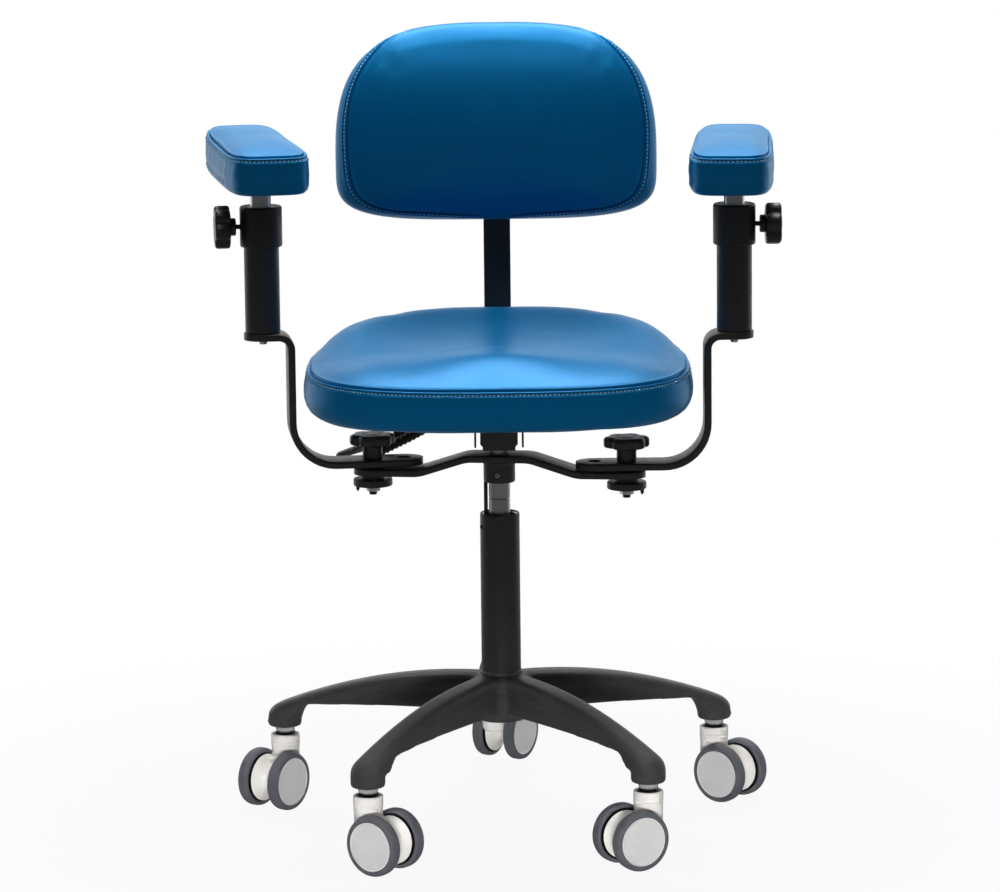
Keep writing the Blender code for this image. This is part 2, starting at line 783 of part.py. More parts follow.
def column():
    outer = COLUMN_D / 2
    inner = outer - COLUMN_WALL
    hole = PISTON_D / 2 + GAP
    floor = COLUMN_FOOT + COLUMN_FLOOR
    tube = turned([(outer, COLUMN_MOUTH), (outer, COLUMN_FOOT), (hole, COLUMN_FOOT), (hole, floor),
                   (inner, floor), (inner, COLUMN_MOUTH)], 28, closed=True)
    CHAIR.carry(piece("column_tube", tube, BLACK_PAINT))
    bush_top = COLUMN_MOUTH - BUSH_SUNK
    bush = ring(2 * BUSH_R, 2 * BORE_R, bush_top - BUSH_LENGTH, bush_top, 20)
    CHAIR.carry(piece("column_bush", bush, WHITE_PLASTIC))
    bearing_foot = floor + GAP
    bearing_top = bearing_foot + BEARING_H
    CHAIR.carry(piece("thrust_bearing", ring(BEARING_D, PISTON_D + 2 * RUN, bearing_foot, bearing_top, 16), STEEL))
    pin = PISTON_D / 2
    flange = PISTON_FLANGE_D / 2
    flange_foot = bearing_top + GAP
    flange_top = flange_foot + COLUMN_FLOOR
    piston_top = COLUMN_FOOT + PISTON_LENGTH
    profile = [(0.0, piston_top), (pin, piston_top), (pin, flange_top), (flange, flange_top),
               (flange, flange_foot), (pin, flange_foot), (pin, COLUMN_FOOT), (0.0, COLUMN_FOOT)]
    SWIVEL.carry(piece("piston_rod", turned(profile, 12), STEEL))


def gas_cylinder():
    outer = CYLINDER_D / 2
    bore = PISTON_D / 2 + GAP
    bore_top = COLUMN_FOOT + PISTON_LENGTH + CYLINDER_SHOWS
    valve = VALVE_D / 2
    profile = [(0.0, CYLINDER_TOP + VALVE_H), (valve, CYLINDER_TOP + VALVE_H), (valve, CYLINDER_TOP),
               (outer - TAPER, CYLINDER_TOP), (outer, HOUSING_FOOT - 0.008), (outer, CYLINDER_FOOT),
               (bore, CYLINDER_FOOT), (bore, bore_top), (0.0, bore_top)]
    LIFT.carry(piece("gas_cylinder", turned(profile, 24), GREY_STEEL))


# Armrest beam, arm bars and clamps

def upright_slab(path, thickness, width):
    """A flat bar bent along a path in XZ, with its width along Y."""
    return moved(slab(strip_outline(path, thickness), width / 2), turn(90, "X"))


def armrest_beam():
    middle = BEAM_FOOT + BAR_THICK / 2
    end = middle - BEAM_DROP
    inner = BEAM_FLAT / 2
    outer = inner + BEAM_SLOPE
    corners = [(-ARM_X, end), (-outer, end), (-inner, middle), (inner, middle), (outer, end), (ARM_X, end)]
    bar = upright_slab(arc_path(corners, [BEAM_BEND_R] * 4, 3), BAR_THICK, BAR_WIDTH)
    joined = [moved(rod(BAR_WIDTH, BEAM_END_FOOT, BEAM_END_TOP, 24), at(sign * ARM_X, 0, 0)) for sign in (-1, 1)]
    joined.append(rod(COLLAR_D, COLLAR_FOOT, BEAM_FOOT + BAR_THICK / 2, 24))
    cut = [moved(rod(CLAMP_HOLE_D, BEAM_END_FOOT - 0.01, BEAM_END_TOP + 0.01, 12), at(sign * ARM_X, 0, 0))
           for sign in (-1, 1)]
    cut.append(rod(2 * BORE_R, COLLAR_FOOT - 0.01, BEAM_TOP + 0.01, 24))
    screw_z = COLLAR_FOOT + COLLAR_H * 0.4
    to_front = at(0, 0, screw_z) @ turn(90, "X")
    cut.append(moved(rod(SET_SCREW_D + 2 * GAP, CYLINDER_D / 2 - 0.002, COLLAR_D, 12), to_front))
    BEAM.carry(piece("armrest_beam", fused(bar, joined, cut), BLACK_PAINT))
    screw = moved(rod(SET_SCREW_D, BORE_R, COLLAR_D / 2 + 0.0005, 12), to_front)
    BEAM.carry(piece("collar_set_screw", screw, DARK_STEEL))
    rod_x = -(CYLINDER_D / 2 + COLLAR_D / 2) / 2 - 0.0007
    limit = moved(rod(LIMIT_ROD_D, COLLAR_FOOT - GAP - LIMIT_ROD_LENGTH, COLLAR_FOOT - GAP, 12), at(rod_x, 0, 0))
    BEAM.carry(piece("travel_limit_rod", limit, BLACK_PAINT))


def star_knob(diameter, height, hub_d, hub_h, stud_d, stud_end):
    """A lobed knob with its hub below it and its stud along -Z; the hub's foot is at z = 0."""
    head = slab(star_outline(diameter, KNOB_LOBES, LOBE_DEPTH), height / 2, edge=0.0025)
    head = moved(head, at(0, 0, hub_h + height / 2))
    hub = rod(hub_d, 0.0, hub_h + height / 2, 14)
    stud = rod(stud_d, -stud_end, hub_h / 2, 10)
    return fused(head, [hub, stud])


def arm_bar_mesh():
    """Right-hand arm bar: level tail, upright and shelf, with its clamp and post holes."""
    level = ARM_FOOT + BAR_THICK / 2
    shelf = SHELF_TOP - BAR_THICK / 2
    tail = ARM_X - ARM_TAIL
    corners = [(tail, level), (ARM_UPRIGHT_X, level), (ARM_UPRIGHT_X, shelf), (POST_X, shelf)]
    bar = upright_slab(arc_path(corners, [ARM_BEND_R, SHELF_BEND_R], 5), BAR_THICK, BAR_WIDTH)
    joined = [moved(rod(BAR_WIDTH, ARM_FOOT, ARM_TOP, 20), at(tail, 0, 0)),
              moved(rod(BAR_WIDTH, SHELF_TOP - BAR_THICK, SHELF_TOP, 20), at(POST_X, 0, 0)),
              moved(rod(ARM_WASHER_D, ARM_FOOT - ARM_WASHER_H, ARM_FOOT + BAR_THICK / 2, 16), at(ARM_X, 0, 0))]
    cut = [moved(rod(CLAMP_HOLE_D, ARM_FOOT - 0.01, ARM_TOP + 0.01, 12), at(ARM_X, 0, 0)),
           moved(rod(ARM_SPARE_D, ARM_FOOT - 0.01, ARM_TOP + 0.01, 12), at(tail, 0, 0)),
           moved(rod(POST_STUD_D + 2 * GAP, SHELF_TOP - 0.02, SHELF_TOP + 0.01, 12), at(POST_X, 0, 0))]
    return fused(bar, joined, cut)


def arm_post_mesh():
    """Hollow post with a wider collar, a stud through the shelf and a threaded side hole along +X."""
    body = POST_D / 2
    collar = POST_COLLAR_D / 2
    bore = POST_BUSH_R + GAP
    stud = POST_STUD_D / 2
    stud_foot = SHELF_TOP - BAR_THICK - POST_STUD_SHOWS
    bore_foot = POST_TOP - STEM_TUBE_IN_POST - STEM_TUBE_SHOWS
    profile = [(bore, POST_TOP), (collar - 0.002, POST_TOP), (collar, POST_TOP - 0.002),
               (collar, POST_COLLAR_FOOT + 0.003), (body, POST_COLLAR_FOOT), (body, POST_FOOT),
               (stud, POST_FOOT), (stud, stud_foot), (0.0, stud_foot)]
    profile = [(0.0, bore_foot), (bore, bore_foot)] + profile
    shape = turned(profile, 20)
    hole = moved(rod(ARM_STUD_D + 2 * GAP, body / 2, 2 * collar, 10), at(0, 0, ARM_KNOB_Z) @ turn(90, "Y"))
    return fused(shape, cut=[hole])


def arm_stem_mesh():
    plate = slab(superellipse_outline(PAD_PLATE_W / 2, PAD_PLATE_L / 2, 6, 24), PAD_PLATE_H / 2)
    plate = moved(plate, at(0, 0, PLATE_FOOT + PAD_PLATE_H / 2))
    return fused(plate, [rod(STEM_TUBE_D, POST_TOP - STEM_TUBE_IN_POST, PLATE_FOOT + PAD_PLATE_H / 2, 20)])


def clamp_disc_mesh():
    """Disc under the beam end, with its boss and the pin that stops it turning on the +X side."""
    top = BEAM_END_FOOT - GAP
    disc_top = top - CLAMP_BOSS_H
    disc_foot = disc_top - CLAMP_DISC_H
    disc = CLAMP_DISC_D / 2
    boss = CLAMP_BOSS_D / 2
    hole = CLAMP_HOLE_D / 2
    profile = [(boss, top), (boss, disc_top), (disc, disc_top), (disc, disc_foot + 0.001),
               (disc - 0.001, disc_foot), (hole, disc_foot), (hole, top)]
    pin = moved(rod(CLAMP_PIN_D, disc_foot - CLAMP_PIN_DROP, disc_top - 0.003, 8), at(disc - CLAMP_PIN_D, 0, 0))
    return fused(turned(profile, 20, closed=True), [pin])


def clamp_nut_mesh():
    top = BEAM_END_FOOT - 2 * GAP - CLAMP_BOSS_H - CLAMP_DISC_H
    flange_foot = top - CLAMP_NUT_H
    flange = rod(CLAMP_NUT_D, flange_foot, top, 18)
    hexagon = rod(CLAMP_HEX_D, flange_foot - CLAMP_HEX_H, top - CLAMP_NUT_H / 2, 6)
    hole = rod(CLAMP_HOLE_D, flange_foot - 2 * CLAMP_HEX_H, top + CLAMP_HEX_H, 12)
    return fused(flange, [hexagon], [hole])


def armrest(side, sign, swing, pad_turn, pad_drop):
    """One armrest; sign is -1 on the sitter's right, which is -X."""
    face = turn(0 if sign > 0 else 180, "Z")
    pivot = Vector((sign * ARM_X, 0.0, 0.0))
    post = Vector((sign * POST_X, 0.0, 0.0))
    arm = Axis(f"{side}_arm_swing", pivot, BEAM)
    arm.carry(piece(f"{side}_arm_bar", moved(arm_bar_mesh(), face), BLACK_PAINT))
    arm.carry(piece(f"{side}_arm_post", moved(arm_post_mesh(), face), BLACK_PAINT), post)

    stem = Axis(f"{side}_pad_turn", post, arm)
    bush = ring(2 * POST_BUSH_R, STEM_TUBE_D + 2 * GAP, POST_TOP - POST_BUSH_H, POST_TOP, 20)
    stem.carry(piece(f"{side}_post_bush", bush, WHITE_PLASTIC), post)
    lowered = post - Vector((0.0, 0.0, pad_drop))
    stem.carry(piece(f"{side}_arm_stem", arm_stem_mesh(), STEEL), lowered)
    pad = stem.carry(piece(f"{side}_arm_pad", pad_mesh(), BLUE_VINYL), lowered)
    pad.location += Vector((0.0, PAD_SHIFT, PAD_FOOT))

    knob_foot = POST_COLLAR_D / 2 + ARM_KNOB_GAP
    stud_end = knob_foot - POST_BUSH_R - GAP
    knob = star_knob(ARM_KNOB_D, ARM_KNOB_H, ARM_KNOB_HUB_D, ARM_KNOB_HUB_H, ARM_STUD_D, stud_end)
    knob = moved(knob, face @ at(knob_foot, 0, 0) @ turn(90, "Y"))
    knob_axis = Axis(f"{side}_arm_knob_turn", post + Vector((0, 0, ARM_KNOB_Z)), arm)
    knob_axis.carry(piece(f"{side}_arm_knob", knob, BLACK_PLASTIC), knob_axis.place)

    nut_foot = BEAM_END_FOOT - 2 * GAP - CLAMP_BOSS_H - CLAMP_DISC_H - CLAMP_NUT_H - CLAMP_HEX_H
    bolt_end = ARM_TOP + GAP - nut_foot + CLAMP_BOLT_END
    clamp = star_knob(CLAMP_KNOB_D, CLAMP_KNOB_H, CLAMP_HUB_D, CLAMP_HUB_H, CLAMP_BOLT_D, bolt_end)
    clamp_axis = Axis(f"{side}_clamp_knob_turn", pivot + Vector((0, 0, ARM_TOP + GAP)), arm)
    clamp_axis.carry(piece(f"{side}_clamp_knob", clamp, BLACK_PLASTIC), clamp_axis.place)
    BEAM.carry(piece(f"{side}_clamp_disc", moved(clamp_disc_mesh(), face), BLACK_PAINT), pivot)
    BEAM.carry(piece(f"{side}_clamp_nut", clamp_nut_mesh(), STEEL), pivot)

    arm.empty.rotation_euler.z = math.radians(swing)
    stem.empty.rotation_euler.z = math.radians(pad_turn)


# Seat mechanism and seat

def lever_corners(run, slope, reach):
    """Lever path in XZ: through the housing wall, level, then sloping down to its end."""
    start = HOUSING_W / 2 - HOUSING_WALL - 0.002
    knee = HOUSING_W / 2 + run
    fall = (reach - knee) * slope
    return [(-start, LEVER_Z), (-knee, LEVER_Z), (-reach, LEVER_Z - fall)]


def lever_mesh(y, run, slope, reach):
    """A bent round lever with a thicker sleeve grip on its sloping end."""
    corners = lever_corners(run, slope, reach)
    path = [(p.x, y, p.y) for p in arc_path(corners, [LEVER_BEND_R], 5)]
    knee = Vector(corners[1])
    end = Vector(corners[2])
    along = (end - knee).normalized()
    grip_start = knee + along * LEVER_NECK
    grip_points = [(p.x, y, p.y) for p in (grip_start, (grip_start + end) / 2, end + along * 0.003)]
    return fused(wire(path, LEVER_D), [wire(grip_points, LEVER_GRIP_D)])


def mechanism():
    half = HOUSING_W / 2
    inner = half - HOUSING_WALL
    floor = HOUSING_FOOT + HOUSING_WALL
    shell = block((-half, -HOUSING_FRONT, HOUSING_FOOT), (half, HOUSING_BACK, HOUSING_TOP))
    hollow = block((-inner, -HOUSING_FRONT + HOUSING_WALL, floor), (inner, HOUSING_BACK + 0.01, HOUSING_TOP + 0.01))
    rear_slot = block((-inner, HOUSING_FLOOR_BACK, HOUSING_FOOT - 0.01), (inner, HOUSING_BACK + 0.01, floor + 0.01))
    socket = rod(SOCKET_D, HOUSING_FOOT + HOUSING_WALL / 2, floor + SOCKET_H, 20)
    bore = rod(2 * BORE_R, HOUSING_FOOT - 0.01, HOUSING_TOP + 0.02, 24)
    pin_holes = [moved(rod(PIN_D + 2 * GAP, -BRACKET_W, BRACKET_W), at(0, y, PIVOT_Z) @ turn(90, "Y"))
                 for y in (SEAT_PIN_Y, BACK_PIN_Y)]
    slots = []
    for y in (HEIGHT_LEVER_Y, TILT_LEVER_Y):
        side = LEVER_D / 2 + GAP
        rise = LEVER_D / 2 + 0.0008
        slots.append(block((-half - 0.01, y - side, LEVER_Z - rise), (-inner + 0.002, y + side, LEVER_Z + rise)))
    hollowed = fused(shell, cut=[hollow, rear_slot])
    housing = fused(hollowed, [socket], [bore] + pin_holes + slots)
    LIFT.carry(piece("mechanism_housing", housing, BLACK_PAINT))
    seat_pin = moved(rod(PIN_D, -BRACKET_W / 2 - 0.003, BRACKET_W / 2 + 0.003), at(0, SEAT_PIN_Y, PIVOT_Z) @ turn(90, "Y"))
    LIFT.carry(piece("seat_pivot_pin", seat_pin, STEEL))
    back_pin = moved(rod(PIN_D, -half - 0.003, half + 0.003), at(0, BACK_PIN_Y, PIVOT_Z) @ turn(90, "Y"))
    LIFT.carry(piece("back_pivot_pin", back_pin, STEEL))
    for name, y, run, slope, reach in (
            ("height_lever", HEIGHT_LEVER_Y, HEIGHT_LEVER_RUN, HEIGHT_LEVER_SLOPE, HEIGHT_LEVER_REACH),
            ("tilt_lever", TILT_LEVER_Y, TILT_LEVER_RUN, TILT_LEVER_SLOPE, TILT_LEVER_REACH)):
        axis = Axis(f"{name}_pull", (-half, y, LEVER_Z), LIFT)
        axis.carry(piece(name, lever_mesh(y, run, slope, reach), BLACK_RUBBER))


def seat():
    half = BRACKET_W / 2
    low_y = SEAT_PIN_Y - BRACKET_PLATE_L / 2
    high_y = SEAT_PIN_Y + BRACKET_PLATE_L / 2
    plate = block((-BRACKET_PLATE_W / 2, low_y, BRACKET_FOOT), (BRACKET_PLATE_W / 2, high_y, BRACKET_TOP))
    ears = []
    for sign in (-1, 1):
        outer = sign * half
        inside = sign * (half - BRACKET_SHEET)
        ears.append(block((min(outer, inside), SEAT_PIN_Y - BRACKET_EAR_L / 2, BRACKET_FOOT - BRACKET_EAR_DROP),
                          (max(outer, inside), SEAT_PIN_Y + BRACKET_EAR_L / 2, BRACKET_FOOT + BRACKET_SHEET / 2)))
    hole = moved(rod(PIN_D + 2 * RUN, -BRACKET_W, BRACKET_W), at(0, SEAT_PIN_Y, PIVOT_Z) @ turn(90, "Y"))
    SEAT_TILT.carry(piece("seat_bracket", fused(plate, ears, [hole]), BLACK_PAINT))
    board = slab(superellipse_outline(SEAT_BOARD_W / 2, SEAT_BOARD_D / 2, 4, 32), SEAT_BOARD_H / 2, edge=0.002)
    board = moved(board, at(0, SEAT_CENTRE_Y, BOARD_FOOT + SEAT_BOARD_H / 2))
    SEAT_TILT.carry(piece("seat_board", board, PLYWOOD))
    SEAT_TILT.carry(piece("seat_cushion", seat_mesh(), BLUE_VINYL), (0, SEAT_CENTRE_Y, SEAT_FOOT))


# Back

def back():
    low = PIVOT_Z - UPRIGHT_DROP
    top = PIVOT_Z + UPRIGHT_TOP
    corners = [(BACK_PIN_Y, PIVOT_Z), (BACK_PIN_Y + UPRIGHT_KNEE, low), (UPRIGHT_Y, low), (UPRIGHT_Y, top)]
    outline = strip_outline(arc_path(corners, [UPRIGHT_KNEE_R, UPRIGHT_CORNER_R], 6), UPRIGHT_T)
    bar = moved(slab(outline, UPRIGHT_W / 2), turn(90, "Z") @ turn(90, "X"))
    across = at(0, BACK_PIN_Y, PIVOT_Z) @ turn(90, "Y")
    eye = moved(rod(UPRIGHT_EYE_D, -UPRIGHT_W / 2, UPRIGHT_W / 2, 20), across)
    hole = moved(rod(PIN_D + 2 * RUN, -UPRIGHT_W, UPRIGHT_W), across)
    BACK_TILT.carry(piece("back_upright", fused(bar, [eye], [hole]), BLACK_PAINT))

    half = UPRIGHT_W / 2 + GAP + SLEEVE_WALL
    sleeve = block((-half, SLEEVE_FRONT, SLEEVE_FOOT), (half, SLEEVE_REAR, SLEEVE_FOOT + SLEEVE_H))
    slot = block((-UPRIGHT_W / 2 - GAP, SLEEVE_FRONT + SLEEVE_WALL, SLEEVE_FOOT - 0.01),
                 (UPRIGHT_W / 2 + GAP, SLEEVE_REAR - SLEEVE_WALL, SLEEVE_FOOT + SLEEVE_H + 0.01))
    to_rear = at(0, 0, BACK_KNOB_Z) @ turn(-90, "X")
    hole = moved(rod(BACK_STUD_D + 2 * RUN, UPRIGHT_Y, SLEEVE_REAR + 0.01, 12), to_rear)
    BACK_SLIDE.carry(piece("back_bracket", fused(sleeve, cut=[slot, hole]), BLACK_PAINT))

    share = BACK_SHELL_SHARE
    middle = (BACK_UPPER_H - BACK_LOWER_H) / 2
    half_h = (BACK_UPPER_H + BACK_LOWER_H) / 2 * share
    shell = slab(superellipse_outline(BACK_W / 2 * share, half_h, 3.6, 32), BACK_SHELL_T / 2, edge=0.003)
    upright = turn(90, "X")
    shell = moved(shell, at(0, SHELL_REAR - BACK_SHELL_T / 2, BACK_WIDEST + middle) @ upright)
    BACK_SLIDE.carry(piece("back_shell", shell, BLACK_PLASTIC))
    cushion_mesh = moved(back_mesh(), at(0, BACK_REAR, BACK_WIDEST) @ upright)
    BACK_SLIDE.carry(piece("back_cushion", cushion_mesh, BLUE_VINYL))

    knob_foot = SLEEVE_REAR + GAP
    stud_end = knob_foot - UPRIGHT_Y - UPRIGHT_T / 2 - GAP
    knob = star_knob(BACK_KNOB_D, BACK_KNOB_H, ARM_KNOB_HUB_D, BACK_KNOB_HUB_H, BACK_STUD_D, stud_end)
    knob = moved(knob, at(0, knob_foot, 0) @ turn(-90, "X"))
    axis = Axis("back_knob_turn", (0, 0, BACK_KNOB_Z), BACK_SLIDE)
    axis.carry(piece("back_knob", knob, BLACK_PLASTIC), axis.place)


clear_scene()
PARTS = new_collection("laboratory_chair")

BLUE_VINYL = material("blue_vinyl", (0.010, 0.090, 0.260), 0.34)
BLACK_PAINT = material("black_paint", (0.017, 0.017, 0.018), 0.42)
BLACK_NYLON = material("black_nylon", (0.020, 0.020, 0.021), 0.45)
BLACK_PLASTIC = material("black_plastic", (0.014, 0.014, 0.014), 0.40)
BLACK_RUBBER = material("black_rubber", (0.010, 0.010, 0.010), 0.55)
WHITE_PLASTIC = material("white_plastic", (0.740, 0.715, 0.670), 0.45)
TYRE = material("grey_tyre", (0.115, 0.120, 0.140), 0.60)
STEEL = material("bright_steel", (0.620, 0.620, 0.630), 0.22, 1.0)
GREY_STEEL = material("grey_steel", (0.300, 0.300, 0.320), 0.35, 1.0)
DARK_STEEL = material("dark_steel", (0.050, 0.050, 0.055), 0.40, 1.0)
PLYWOOD = material("plywood", (0.420, 0.270, 0.140), 0.60)

CHAIR = Axis("chair", (0, 0, 0))
CHAIR.empty.location = (COLUMN_X, COLUMN_Y, 0)
SWIVEL = Axis("seat_swivel", (0, 0, COLUMN_FOOT), CHAIR)
LIFT = Axis("seat_lift", (0, 0, COLLAR_FOOT), SWIVEL)
BEAM = Axis("beam_turn", (0, 0, COLLAR_FOOT), LIFT)
SEAT_TILT = Axis("seat_tilt", (0, SEAT_PIN_Y, PIVOT_Z), LIFT)
BACK_TILT = Axis("back_tilt", (0, BACK_PIN_Y, PIVOT_Z), LIFT)
BACK_SLIDE = Axis("back_height", (0, UPRIGHT_Y, BACK_FOOT), BACK_TILT)

base_star()
casters()
column()
gas_cylinder()
armrest_beam()
armrest("left", -1, LEFT_SWING, LEFT_PAD_TURN, LEFT_PAD_DROP)
armrest("right", 1, RIGHT_SWING, RIGHT_PAD_TURN, RIGHT_PAD_DROP)
BEAM.empty.rotation_euler.z = math.radians(BEAM_TURN)
mechanism()
seat()
back()
bpy.context.view_layer.update()
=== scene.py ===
"""A laboratory chair, dressed for rendering over its solid model.

Lengths are in metres. The chair faces -Y, and "left" is the side towards -X.
"""
import math

import bmesh
import bpy
import numpy as np
from mathutils import Matrix, Vector


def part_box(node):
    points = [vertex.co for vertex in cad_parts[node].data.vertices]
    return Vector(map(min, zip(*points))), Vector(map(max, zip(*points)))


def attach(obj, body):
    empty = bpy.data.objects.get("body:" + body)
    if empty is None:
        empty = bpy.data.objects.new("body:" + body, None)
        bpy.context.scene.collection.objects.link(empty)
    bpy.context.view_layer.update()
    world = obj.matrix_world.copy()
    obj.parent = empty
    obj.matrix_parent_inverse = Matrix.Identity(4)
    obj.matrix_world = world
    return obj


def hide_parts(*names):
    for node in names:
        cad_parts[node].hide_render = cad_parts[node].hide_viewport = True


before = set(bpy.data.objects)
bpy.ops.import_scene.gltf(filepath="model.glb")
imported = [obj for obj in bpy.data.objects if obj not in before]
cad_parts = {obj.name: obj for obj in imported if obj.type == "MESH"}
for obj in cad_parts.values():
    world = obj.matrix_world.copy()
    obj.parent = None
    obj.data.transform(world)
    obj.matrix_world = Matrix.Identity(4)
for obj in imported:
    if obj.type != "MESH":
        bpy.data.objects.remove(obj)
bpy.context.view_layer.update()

SCENE = bpy.context.scene
SIDES = ("left", "right")

# Places taken from the solid model

COLUMN = Vector((0.0036, -0.0292, 0.0))
LEG_ANGLES = [163.7 + 72.0 * n for n in range(5)]
CASTER_HEADINGS = (235.0, 323.0, 210.0, 321.0, 60.0)
BASE_REACH, LEG_END_R = 0.2915, 0.0215
HUB_FOOT, HUB_TOP = 0.129138, 0.188138
LEG_FOOT, LEG_END_TOP = 0.102638, 0.135138
TRAIL, AXLE_Z, WHEEL_IN, NECK_TOP = 0.026, 0.037038, 0.0155, 0.092538
ARM_X, POST_X, UPRIGHT_X, TAIL_X = 0.161, 0.2965, 0.2625, 0.121
ARM_Z, SHELF_Z = 0.458738, 0.623138
BAR_T, BAR_W, BAR_EDGE = 0.009, 0.048, 0.0022
POST_NECK, POST_TOP, ARM_KNOB_Z = 0.735938, 0.786938, 0.761438
BEAM_Z, BEAM_RISE, BEAM_TURN = 0.447438, 0.0192, -7.0
COLLAR_FOOT = 0.435238
SWING = {"left": 14.0, "right": 7.0}
PAD_TURN = {"left": 4.0, "right": -4.0}
PAD_DROP = {"left": 0.0, "right": 0.003}
PAD_SHIFT = {"left": -0.004, "right": -0.0025}
PLATE_FOOT, PAD_FOOT = 0.812138, 0.816438
SEAT_FOOT, SEAT_Y = 0.531638, 0.004
BACK_REAR, BACK_WIDEST = 0.2651, 0.809638
PIVOT_Y, PIVOT_Z, LEVER_Z = 0.103, 0.502638, 0.499838


def at(x, y, z):
    return Matrix.Translation((x, y, z))


def turn(degrees, axis):
    return Matrix.Rotation(math.radians(degrees), 4, axis)


CHAIR = Matrix.Translation(COLUMN)
BEAM = CHAIR @ turn(BEAM_TURN, "Z")
BACK = CHAIR @ at(0, BACK_REAR, BACK_WIDEST) @ turn(90, "X")
CLAMP, ARM, PAD = {}, {}, {}
for side, sign in zip(SIDES, (-1, 1)):
    face = turn(180, "Z") if sign < 0 else Matrix()
    CLAMP[side] = BEAM @ at(sign * ARM_X, 0, 0) @ face
    swung = BEAM @ at(sign * ARM_X, 0, 0) @ turn(SWING[side], "Z") @ at(-sign * ARM_X, 0, 0)
    ARM[side] = swung @ face
    PAD[side] = swung @ at(sign * POST_X, 0, -PAD_DROP[side]) @ turn(PAD_TURN[side], "Z")
STEM, CASTER = [], []
for angle, heading in zip(LEG_ANGLES, CASTER_HEADINGS):
    a = math.radians(angle)
    STEM.append(CHAIR @ at(BASE_REACH * math.cos(a), BASE_REACH * math.sin(a), 0))
    CASTER.append(STEM[-1] @ turn(heading, "Z"))


# Shapes as lists of points and faces

class Shape:
    """Points and faces of a piece, with a material number for each face."""

    def __init__(self):
        self.verts, self.faces, self.mats = [], [], []

    def vert(self, point):
        self.verts.append(Vector(point))
        return len(self.verts) - 1

    def face(self, ids, mat=0):
        self.faces.append(tuple(ids))
        self.mats.append(mat)

    def add(self, other, place=None, mat=None):
        start = len(self.verts)
        self.verts += [place @ v if place is not None else v.copy() for v in other.verts]
        self.faces += [tuple(i + start for i in f) for f in other.faces]
        self.mats += [m if mat is None else mat for m in other.mats]
        return self

    def moved(self, place):
        return Shape().add(self, place)


def fillet(points, radius, steps=4, closed=False):
    """A line of points with its corners rounded; radius is one number or one for each point."""
    pts = [Vector(p) for p in points]
    out = []
    for i, p in enumerate(pts):
        if not closed and i in (0, len(pts) - 1):
            out.append(p)
            continue
        to_a, to_b = pts[i - 1] - p, pts[(i + 1) % len(pts)] - p
        la, lb = to_a.length, to_b.length
        to_a, to_b = to_a / la, to_b / lb
        angle = math.acos(max(-1.0, min(1.0, to_a.dot(to_b))))
        r = radius[i] if isinstance(radius, (list, tuple)) else radius
        if r <= 0 or angle > 3.08 or angle < 0.02:
            out.append(p)
            continue
        reach = min(r / math.tan(angle / 2), 0.48 * la, 0.48 * lb)
        r = reach * math.tan(angle / 2)
        centre = p + (to_a + to_b).normalized() * (r / math.sin(angle / 2))
        va, vb, sweep = p + to_a * reach - centre, p + to_b * reach - centre, math.pi - angle
        for k in range(steps + 1):
            t = k / steps
            out.append(centre + (va * math.sin((1 - t) * sweep) + vb * math.sin(t * sweep)) / math.sin(sweep))
    return out


def spoke(radius, k, count):
    """One of a number of points spread evenly on a circle."""
    a = 2 * math.pi * k / count
    return Vector((radius * math.cos(a), radius * math.sin(a)))


def circle(radius, count):
    return [spoke(radius, k, count) for k in range(count)]


def skin(rings, mat=0):
    """A skin over rings of points; a ring may be drawn to one point."""
    shape = Shape()
    rows = [[shape.vert(p) for p in ring] for ring in rings]
    for a, b in zip(rows, rows[1:]):
        count = max(len(a), len(b))
        for k in range(count if count > 1 else 0):
            m = (k + 1) % count
            if len(a) == 1:
                shape.face((a[0], b[k], b[m]), mat)
            elif len(b) == 1:
                shape.face((a[k], b[0], a[m]), mat)
            else:
                shape.face((a[k], b[k], b[m], a[m]), mat)
    return shape


def lathe(profile, steps, mat=0):
    """A solid of revolution about Z from a profile of (radius, height)."""
    return skin([[(*p, z) for p in circle(r, steps)] if r >= 1e-6 else [(0, 0, z)] for r, z in profile], mat)


def turned(points, radius, detail, steps, mat=0):
    """A solid of revolution from a profile whose corners are rounded."""
    return lathe(fillet(points, radius, detail), steps, mat)


def loft(rings, mat=0):
    """A closed skin over rings that all have the same number of points."""
    shape = Shape()
    ids = [[shape.vert(p) for p in ring] for ring in rings]
    n = len(ids[0])
    for a, b in zip(ids, ids[1:]):
        for k in range(n):
            shape.face((a[k], a[(k + 1) % n], b[(k + 1) % n], b[k]), mat)
    shape.face(tuple(reversed(ids[0])), mat)
    shape.face(tuple(ids[-1]), mat)
    return shape


def inset(outline, depth):
    """A plan outline, anticlockwise, drawn in by a depth."""
    out = []
    for i, p in enumerate(outline):
        d1 = (p - outline[i - 1]).normalized()
        d2 = (outline[(i + 1) % len(outline)] - p).normalized()
        n = Vector((d1.y + d2.y, -(d1.x + d2.x))).normalized()
        out.append(p - n * depth / max(0.4, n.dot(Vector((d1.y, -d1.x)))))
    return out


def slab(outline, profile, mat=0):
    """An outline raised through a profile of (draw-in, height)."""
    outline = [Vector(p) for p in outline]
    return loft([[(p.x, p.y, z) for p in (inset(outline, d) if d else outline)] for d, z in profile], mat)


def run_of(points):
    """How far along a line of points each one lies."""
    return np.concatenate([[0], np.cumsum(np.linalg.norm(np.diff(points, axis=0), axis=1))])


def superellipse(half_x, half_y, power, count):
    """Points laid evenly along a rounded-rectangle outline."""
    a = np.linspace(0, 2 * np.pi, 6001)
    r = (np.abs(np.cos(a)) ** power + np.abs(np.sin(a)) ** power) ** (-1 / power)
    x, y = half_x * r * np.cos(a), half_y * r * np.sin(a)
    length = run_of(np.stack([x, y], axis=1))
    want = np.arange(count) / count * length[-1]
    return np.interp(want, length, x), np.interp(want, length, y)


